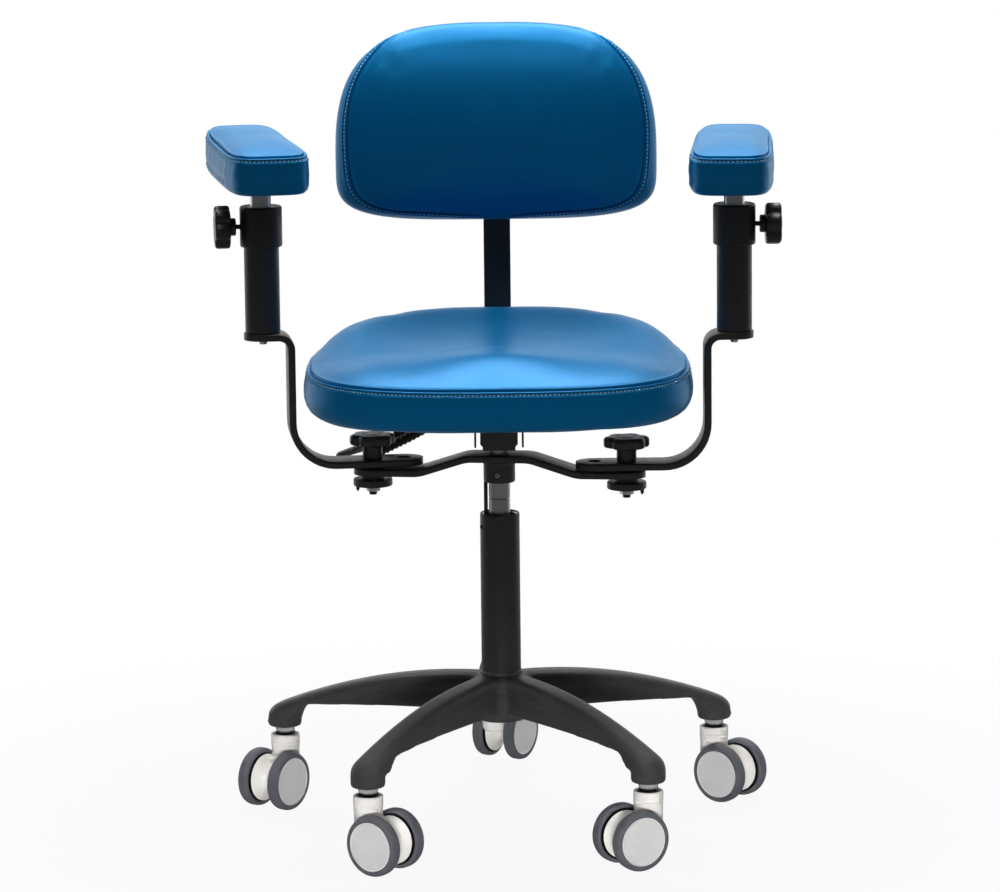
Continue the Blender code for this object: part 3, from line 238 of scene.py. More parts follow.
def two_halves(half, up, down, power_up, power_down, count):
    """An outline with one superellipse above the X axis and another below it."""
    ux, uy = superellipse(half, up, power_up, count)
    lx, ly = superellipse(half, down, power_down, count)
    middle = count // 2 + 1
    return np.concatenate([ux[:middle], lx[middle:]]), np.concatenate([uy[:middle], ly[middle:]])


def frames_along(path, up=Vector((0, 1, 0))):
    """Directions along and across a path, for laying sections on it."""
    out = []
    for i, p in enumerate(path):
        a, b = path[max(0, i - 1)], path[min(len(path) - 1, i + 1)]
        along = (b - a).normalized()
        side = up.cross(along)
        side = side.normalized() if side.length > 1e-6 else Vector((1, 0, 0))
        out.append((p, along, side, along.cross(side)))
    return out


def tube(path, radii, sides):
    """A round bar along a path, with a radius for each point."""
    rings = []
    for (p, _, side, lift), r in zip(frames_along(path), radii):
        rings.append([p + (side * math.cos(2 * math.pi * k / sides) + lift * math.sin(2 * math.pi * k / sides)) * r
                      for k in range(sides)])
    return loft(rings)


def dense(path, step):
    """A line of points with extra points, so that none is further than a step from the next."""
    out = [path[0]]
    for a, b in zip(path, path[1:]):
        n = max(1, math.ceil((b - a).length / step))
        out += [a.lerp(b, k / n) for k in range(1, n + 1)]
    return out


def bent_bar(path, width, thick, edge, round_ends=True, across=Vector((0, 1, 0))):
    """A flat bar bent along a path, its flat side across the path and its ends round in plan."""
    half = width / 2
    first, last = (path[0] - path[1]).normalized(), (path[-1] - path[-2]).normalized()
    path = dense(path, 0.012)
    spread = [half] * len(path)
    if round_ends:
        narrow = [math.cos(math.pi / 2 * k / 14) for k in range(1, 14)]
        reach = [half * math.sqrt(1 - t * t) for t in narrow] + [half * 0.9995]
        ends = [half * t for t in narrow] + [half * 0.04]
        path = [path[0] + first * r for r in reversed(reach)] + path + [path[-1] + last * r for r in reach]
        spread = ends[::-1] + spread + ends
    rings = []
    for (p, along, _, _), w in zip(frames_along(path), spread):
        lift = along.cross(across).normalized()
        r = min(edge, w * 0.8)
        rise = min(r, thick * 0.45)
        section = []
        for cx, cz, start in ((1, 1, 0), (-1, 1, 90), (-1, -1, 180), (1, -1, 270)):
            for k in range(4):
                a = math.radians(start + 30 * k)
                section.append(p + across * (cx * (w - r) + r * math.cos(a))
                               + lift * (cz * (thick / 2 - rise) + rise * math.sin(a)))
        rings.append(section)
    return loft(rings)


def block(low, high, edge, steps):
    """A box with rounded edges."""
    bm = bmesh.new()
    bmesh.ops.create_cube(bm, size=1.0)
    for v in bm.verts:
        v.co = Vector([low[k] + (v.co[k] + 0.5) * (high[k] - low[k]) for k in range(3)])
    bmesh.ops.bevel(bm, geom=bm.edges[:], offset=edge, segments=steps, profile=0.5, affect="EDGES")
    return taken(bm)


def taken(bm):
    """The shape that an edit mesh holds."""
    shape = Shape()
    bm.verts.index_update()
    for v in bm.verts:
        shape.vert(v.co)
    for f in bm.faces:
        shape.face([v.index for v in f.verts], f.material_index)
    bm.free()
    return shape


def mesh_of(name, shape, sharp=38.0):
    """A mesh of a shape, smooth apart from edges sharper than an angle."""
    mesh = bpy.data.meshes.new(name)
    mesh.from_pydata([tuple(v) for v in shape.verts], [], shape.faces)
    mesh.polygons.foreach_set("material_index", shape.mats)
    bm = bmesh.new()
    bm.from_mesh(mesh)
    bmesh.ops.remove_doubles(bm, verts=bm.verts[:], dist=2e-6)
    bmesh.ops.recalc_face_normals(bm, faces=bm.faces[:])
    for f in bm.faces:
        f.smooth = True
    for e in bm.edges:
        e.smooth = not (len(e.link_faces) == 2 and e.calc_face_angle(0.0) > math.radians(sharp))
    bm.to_mesh(mesh)
    bm.free()
    return mesh


def placed(name, data):
    obj = bpy.data.objects.new(name, data)
    SCENE.collection.objects.link(obj)
    return obj


def working(name, shape):
    return placed(name, mesh_of(name, shape))


def dropped(obj):
    mesh = obj.data
    bpy.data.objects.remove(obj, do_unlink=True)
    bpy.data.meshes.remove(mesh)


def evaluated(obj):
    """The shape of an object after its modifiers."""
    bm = bmesh.new()
    bm.from_object(obj, bpy.context.evaluated_depsgraph_get())
    return taken(bm)


def carved(shape, others, operation="DIFFERENCE"):
    """A shape with others cut from it, or joined to it."""
    main = working("carved", shape)
    tools = [working("tool", other) for other in others]
    for tool in tools:
        mod = main.modifiers.new("cut", "BOOLEAN")
        mod.object, mod.operation, mod.solver = tool, operation, "EXACT"
    result = evaluated(main)
    for obj in [main] + tools:
        dropped(obj)
    return result


def remeshed(shape, voxel, smooth):
    """A shape whose pieces run into each other with soft fillets."""
    obj = working("remeshed", shape)
    mod = obj.modifiers.new("skin", "REMESH")
    mod.mode, mod.voxel_size = "VOXEL", voxel
    mod = obj.modifiers.new("soften", "SMOOTH")
    mod.factor, mod.iterations = 0.5, smooth
    result = evaluated(obj)
    dropped(obj)
    return result


def piece(name, shape, looks, body, stands_for=None, sharp=38.0):
    """A finished piece that rides on a body and may stand for a solid of the model."""
    obj = placed(name, mesh_of(name, shape, sharp))
    for look in looks if isinstance(looks, list) else [looks]:
        obj.data.materials.append(look)
    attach(obj, body)
    if stands_for:
        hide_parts(stands_for)
    return obj


# Materials

def wire(tree, made, values):
    """Sets a node's inputs; a value that is another node's output is linked."""
    for key, value in values.items():
        if isinstance(value, bpy.types.NodeSocket):
            tree.links.new(value, made.inputs[key])
        else:
            made.inputs[key].default_value = value


def node(tree, kind, values=None, **settings):
    made = tree.nodes.new("ShaderNode" + kind)
    for key, value in settings.items():
        setattr(made, key, value)
    wire(tree, made, values or {})
    return made


def existing(tree, kind):
    return next(n for n in tree.nodes if n.type == kind)


def finish(name, dark, light, rough, patch, grain, bump, depth, stretch=(1, 1, 1), metallic=0.0, specular=0.5,
        cells=False, swell=None, tint=(1, 1, 1)):
    """A procedural surface: colour and gloss that vary over it, and a grain in relief."""
    look = bpy.data.materials.new(name)
    look.use_nodes = True
    tree = look.node_tree
    coord = node(tree, "TexCoord").outputs["Object"]
    place = node(tree, "Mapping", {"Vector": coord, "Scale": stretch}).outputs["Vector"]
    cloud = node(tree, "TexNoise", {"Vector": place, "Scale": patch, "Detail": 4.0, "Roughness": 0.6})
    ramp = node(tree, "ValToRGB", {"Fac": cloud.outputs["Fac"]})
    for stop, position, colour in zip(ramp.color_ramp.elements, (0.3, 0.72), (dark, light)):
        stop.position, stop.color = position, (*colour, 1)
    streak = node(tree, "TexNoise", {"Vector": place, "Scale": patch * 5.5, "Detail": 3.0, "Roughness": 0.55})
    gloss = node(tree, "MapRange", {"Value": streak.outputs["Fac"], "From Min": 0.3, "From Max": 0.7,
        "To Min": rough[0], "To Max": rough[1]})
    if cells:
        height = node(tree, "TexVoronoi", {"Vector": place, "Scale": grain}, feature="SMOOTH_F1").outputs["Distance"]
    else:
        height = node(tree, "TexNoise", {"Vector": place, "Scale": grain, "Detail": 2.0}).outputs["Fac"]
    relief = node(tree, "Bump", {"Strength": bump, "Distance": depth, "Height": height})
    if swell:
        wave = node(tree, "TexNoise", {"Vector": coord, "Scale": swell[0], "Detail": 2.0})
        relief = node(tree, "Bump", {"Strength": swell[1], "Distance": swell[2], "Height": wave.outputs["Fac"],
            "Normal": relief.outputs["Normal"]})
    wire(tree, existing(tree, "BSDF_PRINCIPLED"), {"Base Color": ramp.outputs["Color"],
        "Roughness": gloss.outputs["Result"], "Normal": relief.outputs["Normal"], "Metallic": metallic,
        "Specular IOR Level": specular, "Specular Tint": (*tint, 1)})
    return look


VINYL = finish("blue_vinyl_cover", (0.0004, 0.152, 0.376), (0.0006, 0.17, 0.416), (0.33, 0.38), 9, 480, 0.02, 0.0002,
    cells=True, swell=(24.0, 0.06, 0.005), metallic=0.28, specular=0.22, tint=(0.45, 0.8, 1.0))
# Thread: its own blue is a little lighter than the cover, and it is lightened much further as a painted highlight on
# the stitches.
THREAD_AND_HIGHLIGHT = finish("blue_thread_and_painted_highlight", (0.36, 0.69, 0.93), (0.46, 0.78, 0.98), (0.42, 0.55), 60, 2600, 0.4, 0.0002)
POWDER = finish("black_powder_coat", (0.024, 0.0236, 0.023), (0.033, 0.0325, 0.0317), (0.34, 0.46), 22, 1500,
    0.18, 0.0003, specular=0.36)
NYLON = finish("black_nylon", (0.043, 0.0425, 0.0425), (0.056, 0.0553, 0.0553), (0.38, 0.48), 16, 1100,
    0.16, 0.0003, specular=0.34)
KNOB = finish("black_knob_plastic", (0.018, 0.0178, 0.0176), (0.026, 0.0257, 0.0254), (0.28, 0.38), 30, 1300,
    0.1, 0.00025, specular=0.45)
RUBBER = finish("black_rubber", (0.014, 0.014, 0.014), (0.022, 0.022, 0.022), (0.26, 0.38), 30, 1600, 0.22, 0.0003)
CREAM = finish("cream_caster_plastic", (0.9, 0.87, 0.83), (0.96, 0.935, 0.9), (0.34, 0.46), 26, 1100, 0.08, 0.0002)
DISC = finish("grey_wheel_plastic", (0.68, 0.68, 0.673), (0.74, 0.74, 0.732), (0.38, 0.48), 30, 1100, 0.08, 0.0002)
RIM = finish("white_wheel_rim", (0.84, 0.84, 0.83), (0.9, 0.9, 0.89), (0.3, 0.4), 30, 1100, 0.08, 0.0002)
TYRE = finish("grey_tyre_rubber", (0.098, 0.102, 0.118), (0.13, 0.134, 0.152), (0.5, 0.62), 34, 1500, 0.18, 0.0003)
# Near-black for each wheel's inner face: painted shade standing in for the shadow in the gap between wheel and fork.
PAINTED_GAP_SHADE = finish("painted_shade_wheel_gap", (0.004, 0.004, 0.004), (0.008, 0.008, 0.008), (0.5, 0.62), 34, 1500,
    0.18, 0.0003, specular=0.3)
CHROME = finish("bright_chrome", (0.84, 0.83, 0.82), (0.92, 0.91, 0.9), (0.16, 0.24), 40, 900,
    0.03, 0.0001, metallic=0.72)
STEEL = finish("grey_brushed_steel", (0.4, 0.4, 0.405), (0.5, 0.5, 0.505), (0.28, 0.4), 60, 700, 0.1, 0.0001,
    stretch=(1, 1, 0.06), metallic=1.0)
ZINC = finish("zinc_plate", (0.62, 0.62, 0.6), (0.74, 0.74, 0.72), (0.24, 0.36), 60, 900, 0.08, 0.0001, metallic=1.0)
DARK = finish("dark_steel", (0.03, 0.03, 0.032), (0.055, 0.055, 0.057), (0.3, 0.42), 50, 900,
    0.1, 0.0001, metallic=1.0)
PLY = finish("birch_plywood", (0.3, 0.2, 0.115), (0.44, 0.31, 0.19), (0.55, 0.68), 60, 700, 0.3,
    0.0003, stretch=(0.08, 1, 1))
SHELL = finish("black_back_shell", (0.01, 0.01, 0.011), (0.016, 0.016, 0.017), (0.46, 0.58), 20, 900,
    0.35, 0.0004, cells=True)
PADDLE = finish("grey_lever_paddle", (0.1, 0.1, 0.105), (0.15, 0.15, 0.155), (0.18, 0.28), 40, 900, 0.05, 0.0001)

# Cushions

FINE = 8    # readings between two rows, where a column is measured
COVER_FRAMES, COVER_PRESSURE = 20, 5.0
STITCH_LINE, STITCH_PITCH = 0.006, 0.0052
STITCH_LONG, STITCH_WIDE, STITCH_HIGH = 0.0036, 0.0021, 0.0018
# Distances from the seam, towards the wall, at which a cover has a row of points
SEAM_STATIONS = [-0.013, -0.01, -0.0075, -0.0058, -0.0046, -0.0037, -0.003, -0.0024, -0.0018, -0.0013, -0.0008,
                 -0.0004, 0.0, 0.0004, 0.0008, 0.0013, 0.0018, 0.0024, 0.003, 0.0036, 0.0042, 0.0047, 0.0052, 0.0056,
                 STITCH_LINE, 0.0064, 0.0068, 0.0073, 0.008, 0.009, 0.0105, 0.0125, 0.015]


def cubic(rows, where, wrap=False):
    """Rows of points read at places between them on a smooth curve; where has a row for each wanted place."""
    n = len(rows)
    i = np.floor(where).astype(int)
    if not wrap:
        i = np.clip(i, 0, n - 2)
    f = (where - i)[..., None]

    def take(k):
        k = np.mod(k, n) if wrap else np.clip(k, 0, n - 1)
        return np.take_along_axis(rows, k[..., None], axis=0)

    a, b, c, d = take(i - 1), take(i), take(i + 1), take(i + 2)
    return 0.5 * (2 * b + (c - a) * f + (2 * a - 5 * b + 4 * c - d) * f ** 2 + (3 * b - a - 3 * c + d) * f ** 3)


def grid_shape(grid):
    """A closed skin over rows of rings, the first and last row each drawn to one point."""
    return skin([grid[:1].mean(axis=1), *grid[1:-1], grid[-1:].mean(axis=1)])


def inflated(grid, held, most):
    """Rows of rings swollen as a stuffed cover that is held along some rows; no point moves further than a limit."""
    rows, count = grid.shape[:2]
    obj = working("cover", grid_shape(grid))
    pin = obj.vertex_groups.new(name="held")
    index = 0
    for r in range(rows):
        many = 1 if r in (0, rows - 1) else count
        if held[r] > 0:
            pin.add(list(range(index, index + many)), held[r], "REPLACE")
        index += many
    cloth = obj.modifiers.new("Cloth", "CLOTH")
    cloth.settings.quality = 6
    cloth.settings.mass = 0.25
    cloth.settings.tension_stiffness = cloth.settings.compression_stiffness = 18.0
    cloth.settings.bending_stiffness = 1.2
    cloth.settings.use_pressure = True
    cloth.settings.uniform_pressure_force = COVER_PRESSURE
    cloth.settings.vertex_group_mass = "held"
    cloth.settings.effector_weights.gravity = 0.0
    cloth.collision_settings.use_collision = False
    cloth.point_cache.frame_start, cloth.point_cache.frame_end = 1, COVER_FRAMES
    for step in range(1, COVER_FRAMES + 1):
        SCENE.frame_set(step)
    swollen = obj.evaluated_get(bpy.context.evaluated_depsgraph_get())
    flat = np.empty(len(obj.data.vertices) * 3)
    swollen.to_mesh().vertices.foreach_get("co", flat)
    flat = flat.reshape(-1, 3)
    swollen.to_mesh_clear()
    dropped(obj)
    SCENE.frame_set(1)
    out = np.empty_like(grid)
    out[0], out[-1] = flat[0], flat[-1]
    out[1:-1] = flat[1:-1].reshape(rows - 2, count, 3)
    move = out - grid
    for _ in range(6):
        near = move.copy()
        near[1:-1] = (move[:-2] + move[2:]) / 2
        move = 0.4 * move + 0.3 * near + 0.15 * (np.roll(move, 1, axis=1) + np.roll(move, -1, axis=1))
        move[0], move[-1] = move[0].mean(axis=0), move[-1].mean(axis=0)
    length = np.linalg.norm(move, axis=2, keepdims=True)
    return grid + move * (most * np.tanh(length / most) / np.maximum(length, 1e-9))


def ring_lengths(grid):
    """How far along each column every reading lies on the smooth curve, and the row where it is."""
    rows, count = grid.shape[:2]
    where = np.linspace(0, rows - 1, (rows - 1) * FINE + 1)[:, None].repeat(count, axis=1)
    step = np.linalg.norm(np.diff(cubic(grid, where), axis=0), axis=2)
    return np.concatenate([np.zeros((1, count)), np.cumsum(step, axis=0)]), where


def resampled(grid, stations, length, where):
    """The columns of a grid read at given distances along them."""
    places = np.empty_like(stations)
    for k in range(grid.shape[1]):
        places[:, k] = np.interp(stations[:, k], length[:, k], where[:, k])
    return cubic(grid, places)


def normals_of(grid):
    down = np.gradient(grid, axis=0)
    around = (np.roll(grid, -1, axis=1) - np.roll(grid, 1, axis=1)) / 2
    n = np.cross(down, around)
    return n / np.maximum(np.linalg.norm(n, axis=2, keepdims=True), 1e-12)


def twice(grid):
    """The same rings with twice the points."""
    where = (np.arange(grid.shape[1] * 2) / 2)[:, None].repeat(grid.shape[0], axis=1)
    return cubic(grid.transpose(1, 0, 2), where, True).transpose(1, 0, 2)


def bell(value, centre, width):
    return np.exp(-(((value - centre) / width) ** 2))


def seam_relief(d):
    """Height of the cover near a seam: the joint, the turned-in edge beside it and the stitched line."""
    return (-0.003 * bell(d, 0.0, 0.0014) + 0.001 * bell(d, -0.004, 0.002) + 0.0012 * bell(d, 0.0034,
        0.0017) - 0.0012 * bell(d, STITCH_LINE, 0.0011) + 0.0008 * bell(d, 0.009, 0.0022))


def sewn(grid, seam_row, top_rows, wall_rows, relief, pucker):
    """The final cover: fine rows at the seam, drawn in there, with puckers at each stitch.

    Gives the rows, and the points and directions on which the stitches lie.
    """
    grid = twice(grid)
    length, where = ring_lengths(grid)
    seam_at, total = length[seam_row * FINE], length[-1]
    stations = [h * (seam_at + SEAM_STATIONS[0]) for h in np.linspace(0, 1, top_rows + 1)[:-1]]
    stations += [seam_at + s for s in SEAM_STATIONS]
    stations += [seam_at + SEAM_STATIONS[-1] + t * (total - seam_at - SEAM_STATIONS[-1])
                 for t in np.linspace(0, 1, wall_rows + 1)[1:]]
    stations = np.array(stations)
    cover = resampled(grid, stations, length, where)
    d = stations - seam_at
    n = normals_of(cover)
    if np.sum(n[4] * (cover[4] - cover[1:-1].mean(axis=(0, 1)))) < 0:
        n = -n
    row = top_rows + SEAM_STATIONS.index(STITCH_LINE)
    line = cover[row]
    run = run_of(np.concatenate([line, line[:1]]))
    stitches = int(run[-1] / STITCH_PITCH)
    gather = pucker * np.cos(run[:-1] / run[-1] * stitches * 2 * np.pi)[None, :]
    lift = seam_relief(d) + gather * bell(d, 0.0078, 0.0022) + 0.7 * gather * bell(d, 0.0036, 0.0018)
    if relief is not None:
        lift = lift + relief(cover, d)
    cover = cover + n * lift[..., None]
    marks = []
    for s in range(stitches):
        goal = (s + 0.5) / stitches * run[-1]
        k = int(np.searchsorted(run, goal)) - 1
        f = (goal - run[k]) / (run[k + 1] - run[k])
        m = (k + 1) % len(line)
        p = cover[row, k] * (1 - f) + cover[row, m] * f
        marks.append((Vector(p), Vector(line[m] - line[k]).normalized(), Vector(n[row, k])))
    return cover, marks


def stitch_row(marks):
    """A thread loop for each stitch, half sunk in the cover."""
    row = Shape()
    for p, along, up in marks:
        side = up.cross(along).normalized()
        rings = []
        for t, w in ((-0.5, 0.35), (-0.36, 0.85), (0.0, 1.0), (0.36, 0.85), (0.5, 0.35)):
            centre = p + along * (t * STITCH_LONG) + up * (STITCH_HIGH * (0.3 - abs(t) * 0.5))
            rings.append([centre + side * (q.x * STITCH_WIDE / 2 * w) + up * (q.y * STITCH_HIGH / 2 * w)
                          for q in circle(1.0, 6)])
        row.add(loft(rings))
    return row


def cushion(name, columns, seam_row, held, place, body, stands_for, most, top_rows, wall_rows,
        relief=None, pucker=0.00035):
    """A stuffed cover and its stitches, from rows of rings in a local frame."""
    grid = inflated(columns, held, most)
    cover, marks = sewn(grid, seam_row, top_rows, wall_rows, relief, pucker)
    obj = piece(name, grid_shape(cover).moved(place), VINYL, body, stands_for, sharp=180.0)
    # The stitches take the pale thread, whose colour holds a painted highlight.
    piece(name + "_stitches", stitch_row(marks).moved(place), THREAD_AND_HIGHLIGHT, body, sharp=60.0)


def smooth_curve(points, count):
    """Points laid evenly on a smooth line through a few given ones."""
    pts = np.array(points, float)[:, None, :]
    fine = cubic(pts, np.linspace(0, len(pts) - 1, 400)[:, None])[:, 0]
    run = run_of(fine)
    want = np.linspace(0, run[-1], count)
    return np.stack([np.interp(want, run, fine[:, k]) for k in range(fine.shape[1])], axis=1)


def seat_cushion():
    half_x, half_y, wall, seam_share = 0.2435, 0.2135, 0.0565, 0.968
    x, y = superellipse(half_x, half_y, 3.0, 176)
    front = np.clip(-y / half_y, 0, 1)
    aim = np.clip(0.5 + 0.9 * y / half_y, 0, 1)
    power = 3.9 + 7.1 * aim * aim * (3 - 2 * aim) - 1.44 * (x / half_x) ** 2 * front

    def top(share):
        """Height over the seam's usual level: raised rear, raised middle in front, side rims and front corners."""
        across, along = x * share / half_x, y * share / half_y
        rise = 0.012 + 0.046 * np.clip((along + 0.3) / 1.24, 0, 1) ** 2.2 * (1 + 0.26 * across ** 2)
        rise = rise + 0.015 * bell(across, 0, 0.33) * bell(along, -0.55, 0.36)
        rise = rise + 0.007 * bell(np.abs(across), 0.85, 0.22)
        rise = rise + 0.006 * bell(np.abs(across), 0.72, 0.25) * bell(along, -0.6, 0.35)
        fall = (share / seam_share) ** power
        return rise * (1 - fall) - 0.0045 * front * fall

    def laid(share, z):
        return np.stack([x * share, y * share, z + np.zeros_like(x)], axis=1)

    rows = [laid(share, wall + top(share)) for share in np.linspace(0, seam_share, 22)]
    seam_row = len(rows) - 1
    seam_z = rows[-1][:, 2]
    side = smooth_curve([(seam_share, 1.0), (0.99, 0.82), (1.0, 0.54), (0.993, 0.28), (0.962, 0.075), (0.915, -0.018),
        (0.86, -0.012), (0.8, 0.0)], 16)
    rows += [laid(share, np.maximum(seam_z * level, -0.0012)) for share, level in side[1:]]
    rows += [laid(share, 0) for share in (0.6, 0.4, 0.2, 0.0)]
    held = [0.0] * seam_row + [1.0] + [0.0] * 12 + [1.0] * (len(rows) - seam_row - 13)

    def lower_rim(cover, d):
        return 0.0009 * bell(d, 0.066, 0.003) - 0.0012 * bell(d, 0.0605, 0.0022)

    cushion("seat_cover", np.array(rows), seam_row, held, CHAIR @ at(0, SEAT_Y, SEAT_FOOT), "seat", "seat_cushion",
        most=0.006, top_rows=40, wall_rows=40, relief=lower_rim)


def back_cushion():
    half, up, down, wall, crown = 0.2085, 0.1825, 0.072, 0.046, 0.031
    count, top_count, wall_count = 176, 22, 18
    uneven = np.stack(two_halves(half, up, down, 3.0, 4.2, count), axis=1)
    uneven = np.concatenate([uneven, uneven[:1]])
    run = run_of(uneven)
    want = np.arange(count) / count * run[-1]
    x, y = np.interp(want, run, uneven[:, 0]), np.interp(want, run, uneven[:, 1])

    profile = [(share, wall + crown * (1 - share ** 2.6)) for share in np.linspace(0, 0.9, 24)]
    edge = smooth_curve([profile[-1], (0.948, 0.0455), (0.984, 0.035), (1.0, 0.021), (0.996, 0.0095),
        (0.978, 0.0018), (0.945, 0.0)], 26)
    profile += [tuple(p) for p in edge[1:]] + [(s, 0.0) for s in (0.8, 0.6, 0.4, 0.2, 0.0)]
    share, depth = np.array(profile).T[..., None]
    full = np.stack([x * share, y * share, depth.repeat(count, axis=1)], axis=2)
    lean = np.clip(full[..., 1] / up, 0, 1) ** 2.4
    full[..., 2] -= 0.016 * lean * np.clip(full[..., 2] / 0.04, 0, 1)

    # The seam runs inside the edge at the foot and the sides, and over the edge at the top
    length, where = ring_lengths(full)
    bearing = np.degrees(np.arctan2(y / np.where(y > 0, up, down), x / half))
    bearing = np.where(np.abs(bearing) > 90, np.sign(bearing) * 180.0 - bearing, bearing)
    inward = np.interp(bearing, [-90, -75, -60, -40, -15, 10, 28, 40, 48, 55, 62, 90],
        [0.034, 0.042, 0.05, 0.05, 0.043, 0.038, 0.033, 0.025, 0.016, 0.004, -0.008, -0.018])
    for _ in range(5):
        inward = 0.5 * inward + 0.25 * (np.roll(inward, 1) + np.roll(inward, -1))
    seam = length[np.argmax(share) * FINE] - inward
    stations = [t * seam for t in np.linspace(0, 1, top_count)]
    stations += [seam + (length[-1] - seam) * t for t in np.linspace(0, 1, wall_count + 1)[1:]]
    columns = resampled(full, np.array(stations), length, where)
    held = [0.0] * (top_count - 1) + [1.0]
    held += [1.0 if columns[top_count + k, :, 2].max() < 0.004 else 0.0 for k in range(wall_count)]
    cushion("back_cover", columns, top_count - 1, held, BACK, "back", "back_cushion", most=0.006,
        top_rows=40, wall_rows=34)


def arm_pad(side):
    half_x, half_y, wall, seam_in, foot_in = 0.0505, 0.1615, 0.047, 0.0048, 0.0065
    x, y = two_halves(half_x, half_y, half_y, 4.6, 5.2, 132)

    def laid(draw, z, share=1.0):
        px, py = x * (1 - draw / half_x) * share, y * (1 - draw / half_y) * share
        px = px * (1 - 0.04 * py / half_y)
        rear = 0.006 * np.clip(py / half_y, 0, 1) ** 2 * np.clip(z / 0.02, 0, 1)
        return np.stack([px, py + 0.014, z + rear], axis=1)

    rows = [laid(seam_in, wall + 0.0115 * (1 - share ** 3.0), share) for share in np.linspace(0, 1, 16)]
    seam_row = len(rows) - 1
    edge = smooth_curve([(seam_in, 1.0), (0.0018, 0.91), (0.0002, 0.7), (0.0, 0.4), (0.001, 0.13),
        (0.0036, 0.008), (foot_in, 0.0)], 13)
    rows += [laid(draw, max(0.0, wall * level)) for draw, level in edge[1:]]
    rows += [laid(foot_in, 0.0, share) for share in (0.75, 0.5, 0.25, 0.0)]
    held = [0.0] * seam_row + [1.0] + [0.0] * 9 + [1.0] * (len(rows) - seam_row - 10)

    def welt_and_wrinkles(cover, d):
        welt = 0.15 * seam_relief(d) + 0.001 * bell(d, 0.0395, 0.0016) - 0.0012 * bell(d, 0.0368, 0.0012)
        wave = np.sin(cover[..., 1] * 230.0 + cover[..., 2] * 90.0) * np.sin(cover[..., 1] * 71.0 + 1.3)
        return welt + 0.0007 * wave * bell(d, 0.02, 0.011)

    cushion(side + "_pad_cover", np.array(rows), seam_row, held, PAD[side] @ at(PAD_SHIFT[side], 0, PAD_FOOT),
        side + "_pad", side + "_arm_pad", most=0.004, top_rows=26, wall_rows=30,
        relief=welt_and_wrinkles, pucker=0.0005)


seat_cushion()
back_cushion()
for side in SIDES:
    arm_pad(side)


# Base and casters

def leg_rings():
    """Sections of a leg along X, from inside the hub to the round end over the caster."""
    start, under_start, edge_in, edge_down = 0.02875, 0.0575, 0.0135, 0.011

    def part(value, low, span):
        return min(1.0, max(0.0, (value - low) / span))

    def eased(depth):
        """How far the top falls at a depth inside the leg's outline."""
        t = 1 - part(depth, 0, edge_in)
        return edge_down * (1 - math.sqrt(max(0.0, 1 - t * t)))

    rings = []
    reaches = list(np.linspace(0.01, BASE_REACH, 46))
    reaches += [BASE_REACH + LEG_END_R * math.sin(math.radians(a)) for a in (10, 22, 34, 46, 58, 68, 77, 84, 88)]
    for reach in reaches:
        along = max(0.0, (reach - start) / (BASE_REACH - start))
        top = HUB_TOP - 0.053 * along ** 2 + 0.0006
        beyond = max(0.0, reach - BASE_REACH)
        half = 0.0205 + 0.001 * min(1.0, along) ** 6 if beyond == 0 else math.sqrt(LEG_END_R ** 2 - beyond ** 2)
        foot = 0.1403 - 0.0085 * part(reach, under_start, BASE_REACH - under_start) ** 2.2
        foot -= (foot - 0.108) * (1 - math.sqrt(1 - part(reach, 0.2545, 0.016) ** 2))
        web = half - 0.005 - 0.006 * part(reach, 0.225, 0.04)
        if beyond > 0:
            web = min(web, half * 0.6)
        parting = min(max(top - 0.0205, foot + 0.0015), top - 0.0125)
        if reach > 0.27:
            parting = min(parting, 0.118)
        half_side = [(web, foot), (web, parting), (half, parting + 0.0006)]
        for share in (1.0, 0.985, 0.95, 0.89, 0.8, 0.66, 0.45):
            inward = LEG_END_R - math.hypot(half * share, beyond) if beyond > 0 else half * (1 - share)
            half_side.append((half * share, max(top - eased(inward), parting + 0.001)))
        crest = top - eased(LEG_END_R - beyond) if beyond > 0 else top
        ring = half_side + [(0.0, max(crest, parting + 0.001))] + [(-w, z) for w, z in reversed(half_side)]
        rings.append([(reach, w, z) for w, z in ring])
    return rings


def base():
    whole = Shape()
    leg = loft(leg_rings())
    end = turned([(0, LEG_FOOT), (LEG_END_R - 0.001, LEG_FOOT), (LEG_END_R, LEG_FOOT + 0.001),
        (LEG_END_R, LEG_END_TOP - 0.019), (0, LEG_END_TOP - 0.019)], [0, 0.0008, 0.0008, 0, 0], 3, 48)
    for angle in LEG_ANGLES:
        whole.add(leg, CHAIR @ turn(angle, "Z"))
        whole.add(end, CHAIR @ turn(angle, "Z") @ at(BASE_REACH, 0, 0))
    hub = turned([(0, HUB_FOOT), (0.033, HUB_FOOT), (0.0365, HUB_FOOT + 0.02), (0.037, 0.166), (0.044, 0.169),
        (0.044, 0.1755), (0.0395, 0.1828), (0.032, HUB_TOP - 0.0002), (0.0268, HUB_TOP + 0.0012),
        (0, HUB_TOP + 0.0012)], 0.004, 4, 72)
    whole.add(hub, CHAIR)
    bore = lathe([(0, 0.1381), (0.0252, 0.1381), (0.0252, 0.22), (0, 0.22)], 64).moved(CHAIR)
    skin = carved(remeshed(whole, voxel=0.0019, smooth=10), [bore])
    piece("base_moulding", skin, NYLON, "base", "base_star", 60.0)


